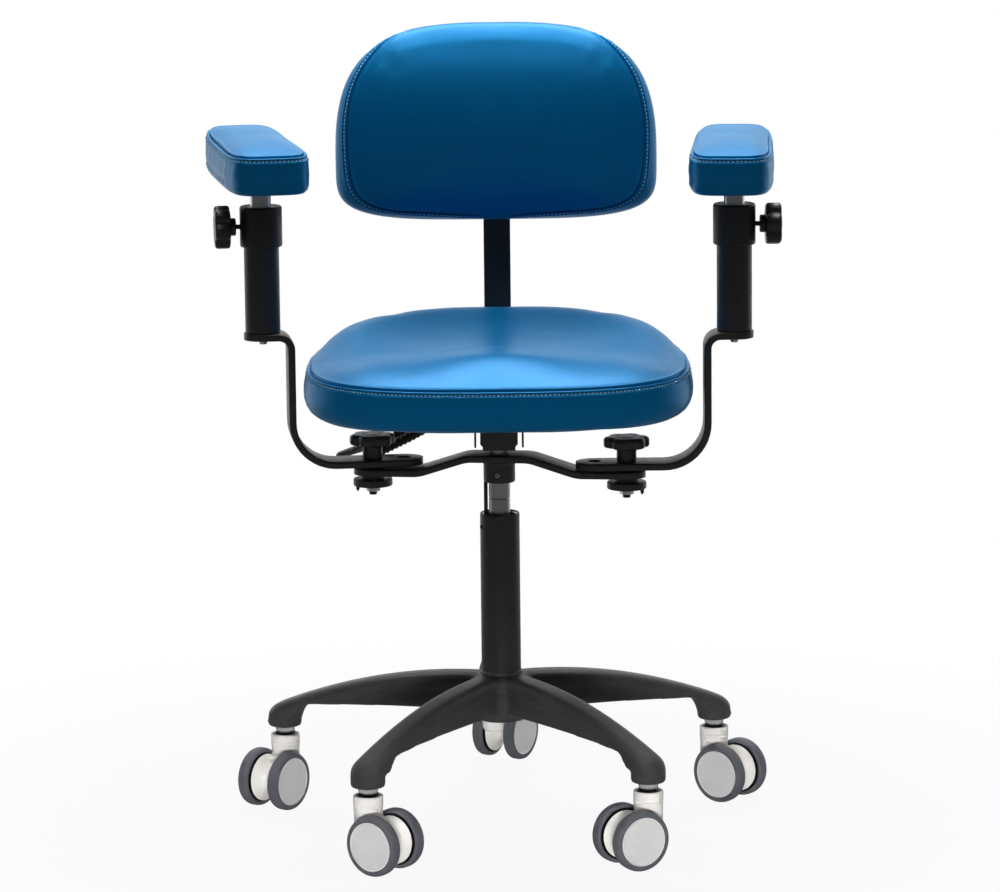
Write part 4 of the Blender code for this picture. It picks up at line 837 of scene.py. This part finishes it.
def caster_fork_shape():
    """Waisted spool between the wheels, run softly into the neck, with a grooved band round the neck's top."""
    across = at(TRAIL, 0, AXLE_Z) @ turn(-90, "X")
    half = [(0, 0.0148), (0.029, 0.0148), (0.0304, 0.014), (0.0304, 0.0128), (0.0268, 0.0114), (0.0225, 0.0094),
        (0.0188, 0.0066), (0.0168, 0.0032), (0.0162, 0.0)]
    spool = lathe(half + [(r, -y) for r, y in reversed(half[:-1])], 72).moved(across)
    neck = lathe([(0, 0.044), (0.0166, 0.044), (0.0178, 0.052), (0.018, 0.09), (0, 0.09)], 56)
    saddle = block((-0.014, -0.0105, AXLE_Z + 0.004), (TRAIL, 0.0105, AXLE_Z + 0.0285), edge=0.004, steps=3)
    room = lathe([(0, 0.015), (0.0389, 0.015), (0.0389, 0.06), (0, 0.06)], 72)
    body = remeshed(carved(neck, [spool, saddle], "UNION"), voxel=0.001, smooth=5)
    body = carved(body, [room.moved(across), room.moved(across @ turn(180, "X"))])
    band = turned([(0.0176, 0.0762), (0.0183, 0.0766), (0.0184, 0.0776), (0.0178, 0.0781), (0.0178, 0.0786),
        (0.0184, 0.0791), (0.0184, 0.0826), (0.0178, 0.083), (0.0178, 0.0836), (0.0184, 0.0841), (0.0184, 0.0912),
        (0.0176, NECK_TOP - 0.0002), (0.0152, NECK_TOP - 0.0002), (0.0146, NECK_TOP - 0.001), (0.0146, 0.088),
        (0.0062, 0.088)], 0.0003, 2, 64)
    axle = lathe([(0, -0.0245), (0.0039, -0.0245), (0.0039, 0.0245), (0, 0.0245)], 24).moved(across)
    return body.add(band).add(axle)


def wheel_shape():
    """A wheel about Z from its inner face: near-black inner face as painted shade of the gap beside the fork, grey tyre
    with fine tread lines, white rim line, grey disc.
    """
    # Slot 3, the inner face, is painted shade for the gap beside the fork.
    shape = turned([(0.0044, 0.0045), (0.029, 0.0045), (0.032, 0.0016)], 0.0015, 3, 72, 3)
    shape.add(turned([(0.032, 0.0016), (0.0326, 0.0006), (0.034, 0.0006), (0.0366, 0.0018), (0.0373, 0.004),
        (0.03695, 0.0043), (0.0374, 0.0047), (0.0375, 0.0082), (0.0374, 0.0116), (0.03695, 0.012), (0.0372, 0.0124),
        (0.0364, 0.0145), (0.034, 0.0162), (0.0312, 0.0163), (0.0304, 0.0152)],
        [0, 0.0004, 0.0014, 0.0016, 0.0003, 0.0002, 0.0003, 0.01, 0.0003, 0.0002, 0.0003, 0.0016,
        0.0014, 0.0005, 0], 3, 72, 0))
    shape.add(turned([(0.0304, 0.0152), (0.0302, 0.0158), (0.0296, 0.016), (0.0291, 0.0156)], 0.0003, 2, 72, 2))
    shape.add(turned([(0.0291, 0.0156), (0.0287, 0.0151), (0.02, 0.0152), (0, 0.0153)], 0.0003, 2, 72, 1))
    return shape


def caster_stem_shape():
    """The pin in the leg, its collar and the toothed dark ring in the neck."""
    n = NECK_TOP
    ring = turned([(0.0062, n - 0.004), (0.0136, n - 0.004), (0.0136, n - 0.0006), (0.0128, n + 0.0002),
        (0.0062, n + 0.0002), (0.0062, n - 0.004)], 0.0003, 2, 48, 1)
    teeth = [spoke(0.0126 if k % 4 < 2 else 0.0112, k + 0.5, 24) for k in range(24)]
    toothed = slab(teeth, [(0, n + 0.0001), (0, n + 0.0024), (0.0004, n + 0.0028)], 1)
    collar = turned([(0.0056, n + 0.0022), (0.0104, n + 0.0022), (0.0122, n + 0.0046), (0.0125, n + 0.0092),
        (0.0121, n + 0.0097), (0.0056, n + 0.0097)], 0.0003, 2, 48)
    pin = turned([(0, n - 0.02), (0.0055, n - 0.02), (0.0055, 0.124), (0.0045, 0.1246), (0, 0.1246)], 0.0005, 2, 32)
    return ring.add(toothed).add(collar).add(pin)


def casters():
    fork, wheel, pintle = caster_fork_shape(), wheel_shape(), caster_stem_shape()
    for n, (place, stem_at) in enumerate(zip(CASTER, STEM), 1):
        caster = f"caster_{n}_"
        piece(caster + "body", fork.moved(place), CREAM, caster + "fork", caster + "fork", 35.0)
        for side, sign in zip(SIDES, (1, -1)):
            set_in = place @ at(TRAIL, sign * WHEEL_IN, AXLE_Z) @ turn(-90 * sign, "X")
            solid = f"{caster}{side}_wheel"
            piece(f"{caster}{side}_tyre", wheel.moved(set_in), [TYRE, DISC, RIM, PAINTED_GAP_SHADE], solid,
                solid, 45.0)
        piece(caster + "pintle", pintle.moved(stem_at), [CHROME, DARK], "base", caster + "stem", 30.0)


base()
casters()


# Column, cylinder and beam

def column():
    sleeve = turned([(0.0228, 0.1388), (0.0248, 0.1384), (0.025, 0.14), (0.025, 0.3938), (0.0243, 0.3953),
        (0.0234, 0.3953), (0.0228, 0.394), (0.0228, 0.1388)], 0.0005, 3, 96)
    piece("column_sleeve", sleeve.moved(CHAIR), POWDER, "base", "column_tube", 40.0)
    foot = turned([(0.0251, 0.1885), (0.0272, 0.1885), (0.0262, 0.1915), (0.0251, 0.193)], 0.0008, 3, 96)
    piece("column_foot_ring", foot.moved(CHAIR), NYLON, "base", None, 40.0)
    mouth = turned([(0.0228, 0.389), (0.0206, 0.389), (0.0206, 0.393), (0.0212, 0.3938),
        (0.0228, 0.3938)], 0.0003, 2, 72)
    piece("column_mouth_ring", mouth.moved(CHAIR), ZINC, "base", None, 40.0)
    screw = turned([(0, 0), (0.0024, 0), (0.0024, 0.0009), (0.0018, 0.0016), (0.0008, 0.0016), (0.0007, 0.0009),
        (0, 0.0009)], 0.0002, 2, 24)
    screw_at = CHAIR @ turn(-159, "Z") @ at(0.0249, 0, 0.3785) @ turn(90, "Y")
    piece("column_screw", screw.moved(screw_at), DARK, "base", None, 30.0)


def cylinder():
    (_, _, low), (_, _, high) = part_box("gas_cylinder")
    shape = turned([(0, low), (0.0125, low), (0.0135, low + 0.002), (0.0135, 0.4138), (0.013, 0.4146),
        (0.013, 0.4156), (0.0135, 0.4164), (0.0135, high - 0.012), (0.0125, high), (0, high)], 0.0004, 3, 72)
    piece("gas_spring_cylinder", shape.moved(CHAIR), STEEL, "upper", "gas_cylinder", 40.0)


def beam():
    top = BEAM_Z + BEAM_RISE
    path = fillet([(-ARM_X, 0, BEAM_Z), (-0.1, 0, BEAM_Z), (-0.04, 0, top), (0.04, 0, top), (0.1, 0, BEAM_Z),
        (ARM_X, 0, BEAM_Z)], 0.05, 8)
    collar = turned([(0.0137, COLLAR_FOOT), (0.0192, COLLAR_FOOT), (0.02, COLLAR_FOOT + 0.0012), (0.02, 0.457),
        (0.0208, 0.4597), (0.0228, 0.4622), (0.0137, 0.4625), (0.0137, COLLAR_FOOT)], 0.001, 3, 72)
    shape = bent_bar(path, BAR_W, BAR_T, BAR_EDGE).add(collar)
    piece("arm_beam", shape.moved(BEAM), POWDER, "upper", "armrest_beam", 40.0)


def arm_parts(side):
    place = ARM[side]
    path = fillet([(TAIL_X, 0, ARM_Z), (UPRIGHT_X, 0, ARM_Z), (UPRIGHT_X, 0, SHELF_Z), (POST_X, 0, SHELF_Z)],
        [0, 0.055, 0.016, 0], 12)
    hole = lathe([(0, ARM_Z - 0.02), (0.0085, ARM_Z - 0.02), (0.0085, ARM_Z + 0.02), (0, ARM_Z + 0.02)], 40)
    bar = carved(bent_bar(path, BAR_W, BAR_T, BAR_EDGE), [hole.moved(at(TAIL_X, 0, 0))])
    washer = turned([(0.0052, ARM_Z - 0.0065), (0.0145, ARM_Z - 0.0065), (0.015, ARM_Z - 0.0055),
        (0.015, ARM_Z - 0.0045), (0.0052, ARM_Z - 0.0045), (0.0052, ARM_Z - 0.0065)], 0.0003, 2, 48)
    bar.add(washer, at(ARM_X, 0, 0))
    piece(side + "_arm_strip", bar.moved(place), POWDER, side + "_arm", side + "_arm_bar", 40.0)

    foot, neck, top = SHELF_Z + 0.0048, POST_NECK, POST_TOP
    post = turned([(0.0184, foot), (0.0212, foot), (0.022, foot + 0.0012), (0.022, neck - 0.0006),
        (0.0252, neck + 0.0004), (0.0265, neck + 0.0018), (0.0265, top - 0.002), (0.025, top), (0.0195, top),
        (0.0184, top - 0.0016), (0.0184, foot)], 0.0007, 3, 80)
    stud = turned([(0, SHELF_Z - 0.0105), (0.004, SHELF_Z - 0.0105), (0.005, SHELF_Z - 0.0093), (0.005, foot + 0.004),
        (0, foot + 0.004)], 0.0004, 2, 24, 1)
    piece(side + "_post_tube", post.add(stud).moved(place @ at(POST_X, 0, 0)), [POWDER, ZINC], side + "_arm",
        side + "_arm_post", 40.0)


column()
cylinder()
beam()
for side in SIDES:
    arm_parts(side)


# Knobs

def star_knob(radius, head, hub_r, hub, lobes=6, depth=0.0045, count=120):
    """A lobed hand knob on a round hub, from its hub up along Z."""
    outline = []
    for k in range(count):
        lobed = radius - depth * (0.5 - 0.5 * math.cos(lobes * 2 * math.pi * k / count)) ** 1.8
        outline.append((spoke(lobed, k, count), spoke(radius, k, count)))
    h, top = hub_r / radius, hub + head
    # Size and lobedness of each section, and its height
    sections = ((h * 0.9, 0, 0.0), (h, 0, 0.0008), (h, 0, hub * 0.7), (h * 1.04, 0, hub * 0.86),
        (0.7, 0.55, hub * 0.97), (0.9, 1, hub + 0.0004), (0.965, 1, hub + 0.0012), (1.0, 1, hub + 0.0034),
        (1.0, 1, top - 0.004), (0.982, 1, top - 0.002), (0.945, 1, top - 0.0008), (0.88, 1, top),
        (0.6, 0.7, top + 0.0002), (0.46, 0.2, top), (0.43, 0, top - 0.0011), (0.4, 0, top), (0.2, 0, top + 0.0005),
        (0.03, 0, top + 0.0006))
    rings = []
    for size, share, z in sections:
        rings.append([(*(plain.lerp(lobed, share) * size), z) for lobed, plain in outline])
    return loft(rings)


ARM_KNOB = star_knob(radius=0.027, head=0.0197, hub_r=0.011, hub=0.007)
CLAMP_KNOB = star_knob(radius=0.029, head=0.0134, hub_r=0.0125, hub=0.017)
BACK_KNOB = star_knob(radius=0.023, head=0.0152, hub_r=0.011, hub=0.012)


def knobs(side):
    place = ARM[side]
    out = place @ at(POST_X + 0.0315, 0, ARM_KNOB_Z) @ turn(90, "Y")
    stud = turned([(0, -0.0065), (0.003, -0.0065), (0.003, 0.002), (0, 0.002)], 0.0002, 2, 20, 1)
    piece(side + "_height_knob", ARM_KNOB.moved(out @ turn(18, "Z")).add(stud, out), [KNOB, DARK], side + "_arm_knob",
        side + "_arm_knob", 34.0)
    bolt = turned([(0, 0.4165), (0.0042, 0.4165), (0.005, 0.4175), (0.005, 0.465), (0, 0.465)], 0.0004, 2, 28, 1)
    shape = CLAMP_KNOB.moved(at(0, 0, 0.463538) @ turn(8, "Z")).add(bolt)
    piece(side + "_clamp_star", shape.moved(place @ at(ARM_X, 0, 0)), [KNOB, DARK], side + "_clamp_knob",
        side + "_clamp_knob", 34.0)
    disc = turned([(0.0052, 0.4426), (0.0142, 0.4426), (0.015, 0.4416), (0.015, 0.4374), (0.0238, 0.4373),
        (0.0248, 0.4362), (0.0248, 0.4294), (0.0238, 0.4284), (0.0052, 0.4284), (0.0052, 0.4426)], 0.0006, 3, 64)
    pin = turned([(0, 0.4203), (0.0006, 0.4203), (0.0024, 0.4235), (0.0025, 0.429), (0, 0.429)], 0.0004, 2, 20)
    piece(side + "_clamp_plate", disc.add(pin, at(0.0195, 0, 0)).moved(CLAMP[side]), POWDER, "upper",
        side + "_clamp_disc", 36.0)
    flange = turned([(0.0052, 0.428), (0.0105, 0.428), (0.0105, 0.4262), (0.0085, 0.4246), (0.0052, 0.4246),
        (0.0052, 0.428)], 0.0004, 2, 40)
    hexagon = slab(circle(0.0091, 6), [(0.0012, 0.4206), (0.0002, 0.4212), (0, 0.4246)])
    piece(side + "_hex_nut", flange.add(hexagon).moved(CLAMP[side]), ZINC, "upper",
        side + "_clamp_nut", 30.0)


def arm_stem(side):
    """The bright tube under a pad, welded to the pad's plate."""
    p, edge = PLATE_FOOT, 0.0008
    rod = turned([(0.0108, 0.6622), (0.0122, 0.6622), (0.013, 0.6632), (0.013, p + 0.0002), (0.0108, p + 0.0002),
        (0.0108, 0.6622)], 0.0006, 3, 56)
    weld = turned([(0.0129, p - 0.0044), (0.014, p - 0.0026), (0.0158, p), (0.0129, p)], 0.0006, 3, 56)
    outline = fillet([(-0.03, -0.09), (0.03, -0.09), (0.03, 0.09), (-0.03, 0.09)], 0.008, 5, True)
    top, q = p + 0.0039, edge * 0.29
    plate = slab(outline, [(edge, p), (q, p + q), (0, p + edge), (0, top - edge), (q, top - q), (edge, top)], 1)
    piece(side + "_stem_tube", rod.add(weld).add(plate).moved(PAD[side]), [CHROME, POWDER], side + "_pad",
        side + "_arm_stem", 38.0)


for side in SIDES:
    knobs(side)
for side in SIDES:
    arm_stem(side)


# Mechanism under the seat

def mechanism():
    low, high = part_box("mechanism_housing")
    half, centre, middle = (high[0] - low[0]) / 2, (low[0] + high[0]) / 2, (low[2] + high[2]) / 2
    section = fillet([(-half, high[2]), (-half, low[2] + 0.007), (-half + 0.0065, low[2]), (half - 0.0065, low[2]),
        (half, low[2] + 0.007), (half, high[2])], 0.0015, 3, True)
    rings = []
    for draw, y in ((0.0012, low[1]), (0.0003, low[1] + 0.0004), (0, low[1] + 0.0012), (0, high[1] - 0.0012),
            (0.0003, high[1] - 0.0004), (0.0012, high[1])):
        rings.append([(centre + p.x * (1 - draw / half), y, middle + (p.y - middle) * (1 - draw / 0.0102))
                      for p in section])
    left, right, front, rear = low[0] + 0.003, high[0] - 0.003, low[1] + 0.002, high[1] - 0.04
    lip = slab(fillet([(left, front), (right, front), (right, rear), (left, rear)], 0.003, 3, True),
        [(0.0006, low[2] - 0.0012), (0, low[2] - 0.0006), (0, low[2] + 0.001), (0.0006, low[2] + 0.0016)])
    piece("tilt_housing", loft(rings).add(lip), POWDER, "upper", "mechanism_housing", 36.0)


def lever(name, solid, y, knee_x, fall, reach, paddle):
    """A bent rod with a ribbed grip; the longer one ends in a flat paddle."""
    knee = Vector((-knee_x, y, LEVER_Z))
    end = Vector((-reach, y, LEVER_Z - fall * (reach - knee_x)))
    start = Vector((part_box(solid)[1][0] - COLUMN.x, y, LEVER_Z))
    path = fillet([start, knee, end], [0, 0.03, 0], 10)
    shape = tube(path, [0.004] * len(path), 20)
    along = (end - knee).normalized()
    grip_start = knee + along * 0.016
    grip_len = (end + along * 0.003 - grip_start).length
    pitch, paddle_len = 0.0062, 0.05 if paddle else 0.0
    ribbed = grip_len - paddle_len
    count = int(ribbed / pitch)
    steps, radii = [0], [0.0046]
    for k in range(count):
        big = 0.0058 + 0.001 * min(1.0, k / 4)
        steps += [k * pitch + s for s in (0.0004, pitch * 0.72, pitch * 0.8, pitch * 0.98)]
        radii += [big * 0.8, big, big * 0.98, big * 0.8]
    if not paddle:
        steps += [count * pitch + 0.001, grip_len * 0.995, grip_len]
        radii += [0.0064, 0.006, 0.0035]
    shape.add(tube([grip_start + along * s for s in steps], radii, 24), None, 1)
    if paddle:
        lift = (Vector((0, 0, 1)) - along * along.z).normalized()
        rings = []
        for t in np.linspace(0, 1, 16):
            p = grip_start + along * (ribbed - 0.002 + t * (paddle_len + 0.002))
            wide = 0.0045 + 0.0045 * math.sin(math.pi * min(1.0, 0.12 + t * 0.62)) if t < 0.97 else 0.0042
            tall = 0.006 - 0.0018 * t if t < 0.97 else 0.0026
            rings.append([p + Vector((0, q.x * wide, 0)) + lift * (q.y * tall) for q in circle(1.0, 24)])
        shape.add(loft(rings), None, 2)
    piece(name, shape.moved(CHAIR), [DARK, RUBBER, PADDLE], solid, solid, 40.0)


mechanism()
lever("height_handle", "height_lever", y=0.066, knee_x=0.0755, fall=0.48, reach=0.155, paddle=False)
lever("tilt_handle", "tilt_lever", y=0.092, knee_x=0.0655, fall=0.33, reach=0.205, paddle=True)


# Back upright, shell and knob, and the small fittings

def back_frame():
    foot_z, bar_y, top_z = 0.486638, 0.283, 0.939638
    path = fillet([(0, PIVOT_Y, PIVOT_Z), (0, 0.148, foot_z), (0, bar_y, foot_z), (0, bar_y, top_z)],
        [0, 0.03, 0.045, 0], 12)
    eye = turned([(0.0043, -0.0175), (0.008, -0.0175), (0.0085, -0.0168), (0.0085, 0.0168), (0.008, 0.0175),
        (0.0043, 0.0175), (0.0043, -0.0175)], 0.0004, 2, 40)
    bar = bent_bar(path, 0.035, 0.006, 0.0016, False, Vector((1, 0, 0)))
    bar.add(eye, at(0, PIVOT_Y, PIVOT_Z) @ turn(90, "Y"))
    piece("back_bar", bar.moved(CHAIR), POWDER, "back_arm", "back_upright", 40.0)


def back_pan():
    """The moulded shell behind the back, which follows the cover's outline inside its edge."""
    outline = list(zip(*two_halves(0.1885, 0.1685, 0.0588, 3.0, 4.0, 176)))
    # Share of the outline, and depth behind the cushion
    profile = ((0.972, 0.0003), (0.992, 0.001), (1.0, 0.0024), (1.0, 0.0044), (0.995, 0.0062), (0.984, 0.0073),
        (0.965, 0.0078), (0.94, 0.008), (0.932, 0.0074), (0.924, 0.0073), (0.916, 0.0082), (0.905, 0.0087),
        (0.86, 0.0092), (0.75, 0.0097), (0.55, 0.01), (0.3, 0.0101))
    shape = loft([[(x * share, y * share, -depth) for x, y in outline] for share, depth in profile])
    piece("back_pan", shape.moved(BACK), SHELL, "back", "back_shell", 50.0)


def small_fittings():
    """The back's star knob, the collar's hexagon-socket set screw and the rod that limits the travel."""
    knob_at = CHAIR @ at(0, 0.2906, 0.846138) @ turn(-90, "X")
    piece("back_star", BACK_KNOB.moved(knob_at), KNOB, "back_knob", "back_knob", 34.0)
    barrel = turned([(0, 0.014), (0.003, 0.014), (0.003, 0.02), (0.0024, 0.0206), (0, 0.0206)], 0.0002, 2, 32)
    barrel = carved(barrel, [slab(circle(0.0017, 6), [(0, 0.018), (0, 0.022)])])
    barrel.add(turned([(0.0032, 0.019), (0.0046, 0.0192), (0.0042, 0.0202), (0.0034, 0.0204),
        (0.0032, 0.019)], 0.0003, 2, 36, 1))
    screw_at = BEAM @ at(0, 0, COLLAR_FOOT + 0.01076) @ turn(90, "X")
    piece("set_screw", barrel.moved(screw_at), [ZINC, POWDER], "upper", "collar_set_screw", 34.0)
    low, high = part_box("travel_limit_rod")
    rod = turned([(0, low[2]), (0.0018, low[2]), (0.0025, low[2] + 0.001), (0.0025, high[2]),
        (0, high[2])], 0.0003, 2, 28)
    rod_at = at((low[0] + high[0]) / 2, (low[1] + high[1]) / 2, 0)
    piece("limit_pin", rod.moved(rod_at), POWDER, "upper", "travel_limit_rod", 36.0)


back_frame()
back_pan()
small_fittings()

# Solids that stay as they are, with their finish

SLOT_LOOKS = {"blue_vinyl": VINYL, "black_paint": POWDER, "black_nylon": NYLON, "black_plastic": KNOB,
    "black_rubber": RUBBER, "white_plastic": CREAM, "grey_tyre": TYRE, "bright_steel": CHROME, "grey_steel": STEEL,
    "dark_steel": DARK, "plywood": PLY}
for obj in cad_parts.values():
    old = obj.data.materials[0].name if obj.data.materials else ""
    look = next((v for k, v in SLOT_LOOKS.items() if k in old), POWDER)
    obj.data.materials.clear()
    obj.data.materials.append(look)
    if not obj.hide_render:
        ease = obj.modifiers.new("ease", "BEVEL")
        ease.width, ease.segments, ease.limit_method, ease.angle_limit = 0.0006, 2, "ANGLE", math.radians(40)


# Floor, world, lamps and camera

def mapped(tree, value, start, end, low, high):
    """A value eased from one range to another."""
    return node(tree, "MapRange", {"Value": value, "From Min": start, "From Max": end, "To Min": low, "To Max": high},
        interpolation_type="SMOOTHSTEP").outputs["Result"]


def combined(tree, operation, a, b):
    return node(tree, "Math", {0: a, 1: b}, operation=operation).outputs[0]


def floor(size, near, far):
    """A floor that is white to the camera and in reflections, less so near the chair, where it shows the shadow."""
    mesh = bpy.data.meshes.new("floor")
    mesh.from_pydata([(-size, -size, 0), (size, -size, 0), (size, size, 0), (-size, size, 0)], [], [(0, 1, 2, 3)])
    look = bpy.data.materials.new("floor_paint")
    look.use_nodes = True
    tree = look.node_tree
    shader = existing(tree, "BSDF_PRINCIPLED")
    wire(tree, shader, {"Base Color": (0.38, 0.38, 0.38, 1), "Roughness": 0.9, "Specular IOR Level": 0.0})
    ray = node(tree, "LightPath").outputs
    spot = node(tree, "NewGeometry").outputs["Position"]
    rear = mapped(tree, node(tree, "SeparateXYZ", {0: spot}).outputs["Y"], 0.2, 2.2, 0.2, 1.0)
    glow = node(tree, "Emission", {"Color": (1, 1, 1, 1), "Strength": combined(tree, "MAXIMUM",
        ray["Is Camera Ray"], rear)})
    away = node(tree, "VectorMath", {0: spot}, operation="LENGTH").outputs["Value"]
    seen = combined(tree, "MULTIPLY", ray["Is Camera Ray"], mapped(tree, away, 0.38, 1.15, near, far))
    mirrored = combined(tree, "MAXIMUM", ray["Is Glossy Ray"], ray["Is Transmission Ray"])
    mix = node(tree, "MixShader", {"Fac": combined(tree, "MAXIMUM", seen, mirrored),
        1: shader.outputs[0], 2: glow.outputs[0]})
    wire(tree, existing(tree, "OUTPUT_MATERIAL"), {"Surface": mix.outputs[0]})
    mesh.materials.append(look)
    placed("floor", mesh)


def studio():
    """A world that is white to the camera and pale behind the chair, where the chair mirrors it."""
    world = bpy.data.worlds.new("studio")
    SCENE.world = world
    world.use_nodes = True
    tree = world.node_tree
    axes = node(tree, "SeparateXYZ", {0: node(tree, "TexCoord").outputs["Generated"]}).outputs
    rear = mapped(tree, axes["Y"], 0.05, 0.65, 0.06, 1.0)
    height = mapped(tree, axes["Z"], 0.3, 0.62, 1.0, 0.25)
    pale = combined(tree, "MULTIPLY", rear, height)
    shown = combined(tree, "MAXIMUM", node(tree, "LightPath").outputs["Is Camera Ray"], pale)
    wire(tree, existing(tree, "BACKGROUND"), {"Color": (1, 1, 1, 1), "Strength": shown})


floor(size=9, near=0.93, far=1.0)
studio()

# Name, place, aim, size, power in watts, spread in degrees, and whether reflections show the lamp
LAMPS = (("overhead", (0.0, 0.0, 2.45), (0.0, 0.0, 0.5), (1.7, 0.9), 19.5, 180.0, True),
         ("rear_top", (0.0, 1.05, 2.35), (0.0, 0.0, 0.5), (1.9, 1.0), 43.0, 180.0, True),
         ("front_top", (0.0, -1.1, 2.5), (0.0, 0.1, 0.85), (3.2, 0.35), 10.5, 180.0, True),
         ("seat_front", (0.0, -1.8, 0.56), (0.0, -0.2, 0.49), (1.5, 0.12), 0.2, 14.0, False),
         ("low_front", (0.0, -1.7, 0.11), (0.0, 0.0, 0.05), (2.2, 0.18), 2.1, 26.0, False))
for name, place, aim, size, power, spread, mirrored in LAMPS:
    light = bpy.data.lights.new(name, "AREA")
    light.shape, light.energy, light.spread = "RECTANGLE", power, math.radians(spread)
    light.size, light.size_y = size
    lamp = placed(name, light)
    lamp.visible_camera, lamp.visible_glossy = False, mirrored
    lamp.location = place
    lamp.rotation_euler = (Vector(aim) - Vector(place)).to_track_quat("-Z", "Y").to_euler()

camera = bpy.data.cameras.new("camera")
camera.lens, camera.sensor_width, camera.sensor_fit = 162.774, 36.0, "HORIZONTAL"
camera.clip_end = 100.0
eye = placed("camera", camera)
eye.location = (0.0048, -5.6292, 1.48675)
eye.rotation_euler = (turn(79.81, "X") @ turn(-0.6, "Z")).to_euler()
SCENE.camera = eye

SCENE.view_settings.view_transform = "Standard"

bpy.context.view_layer.update()
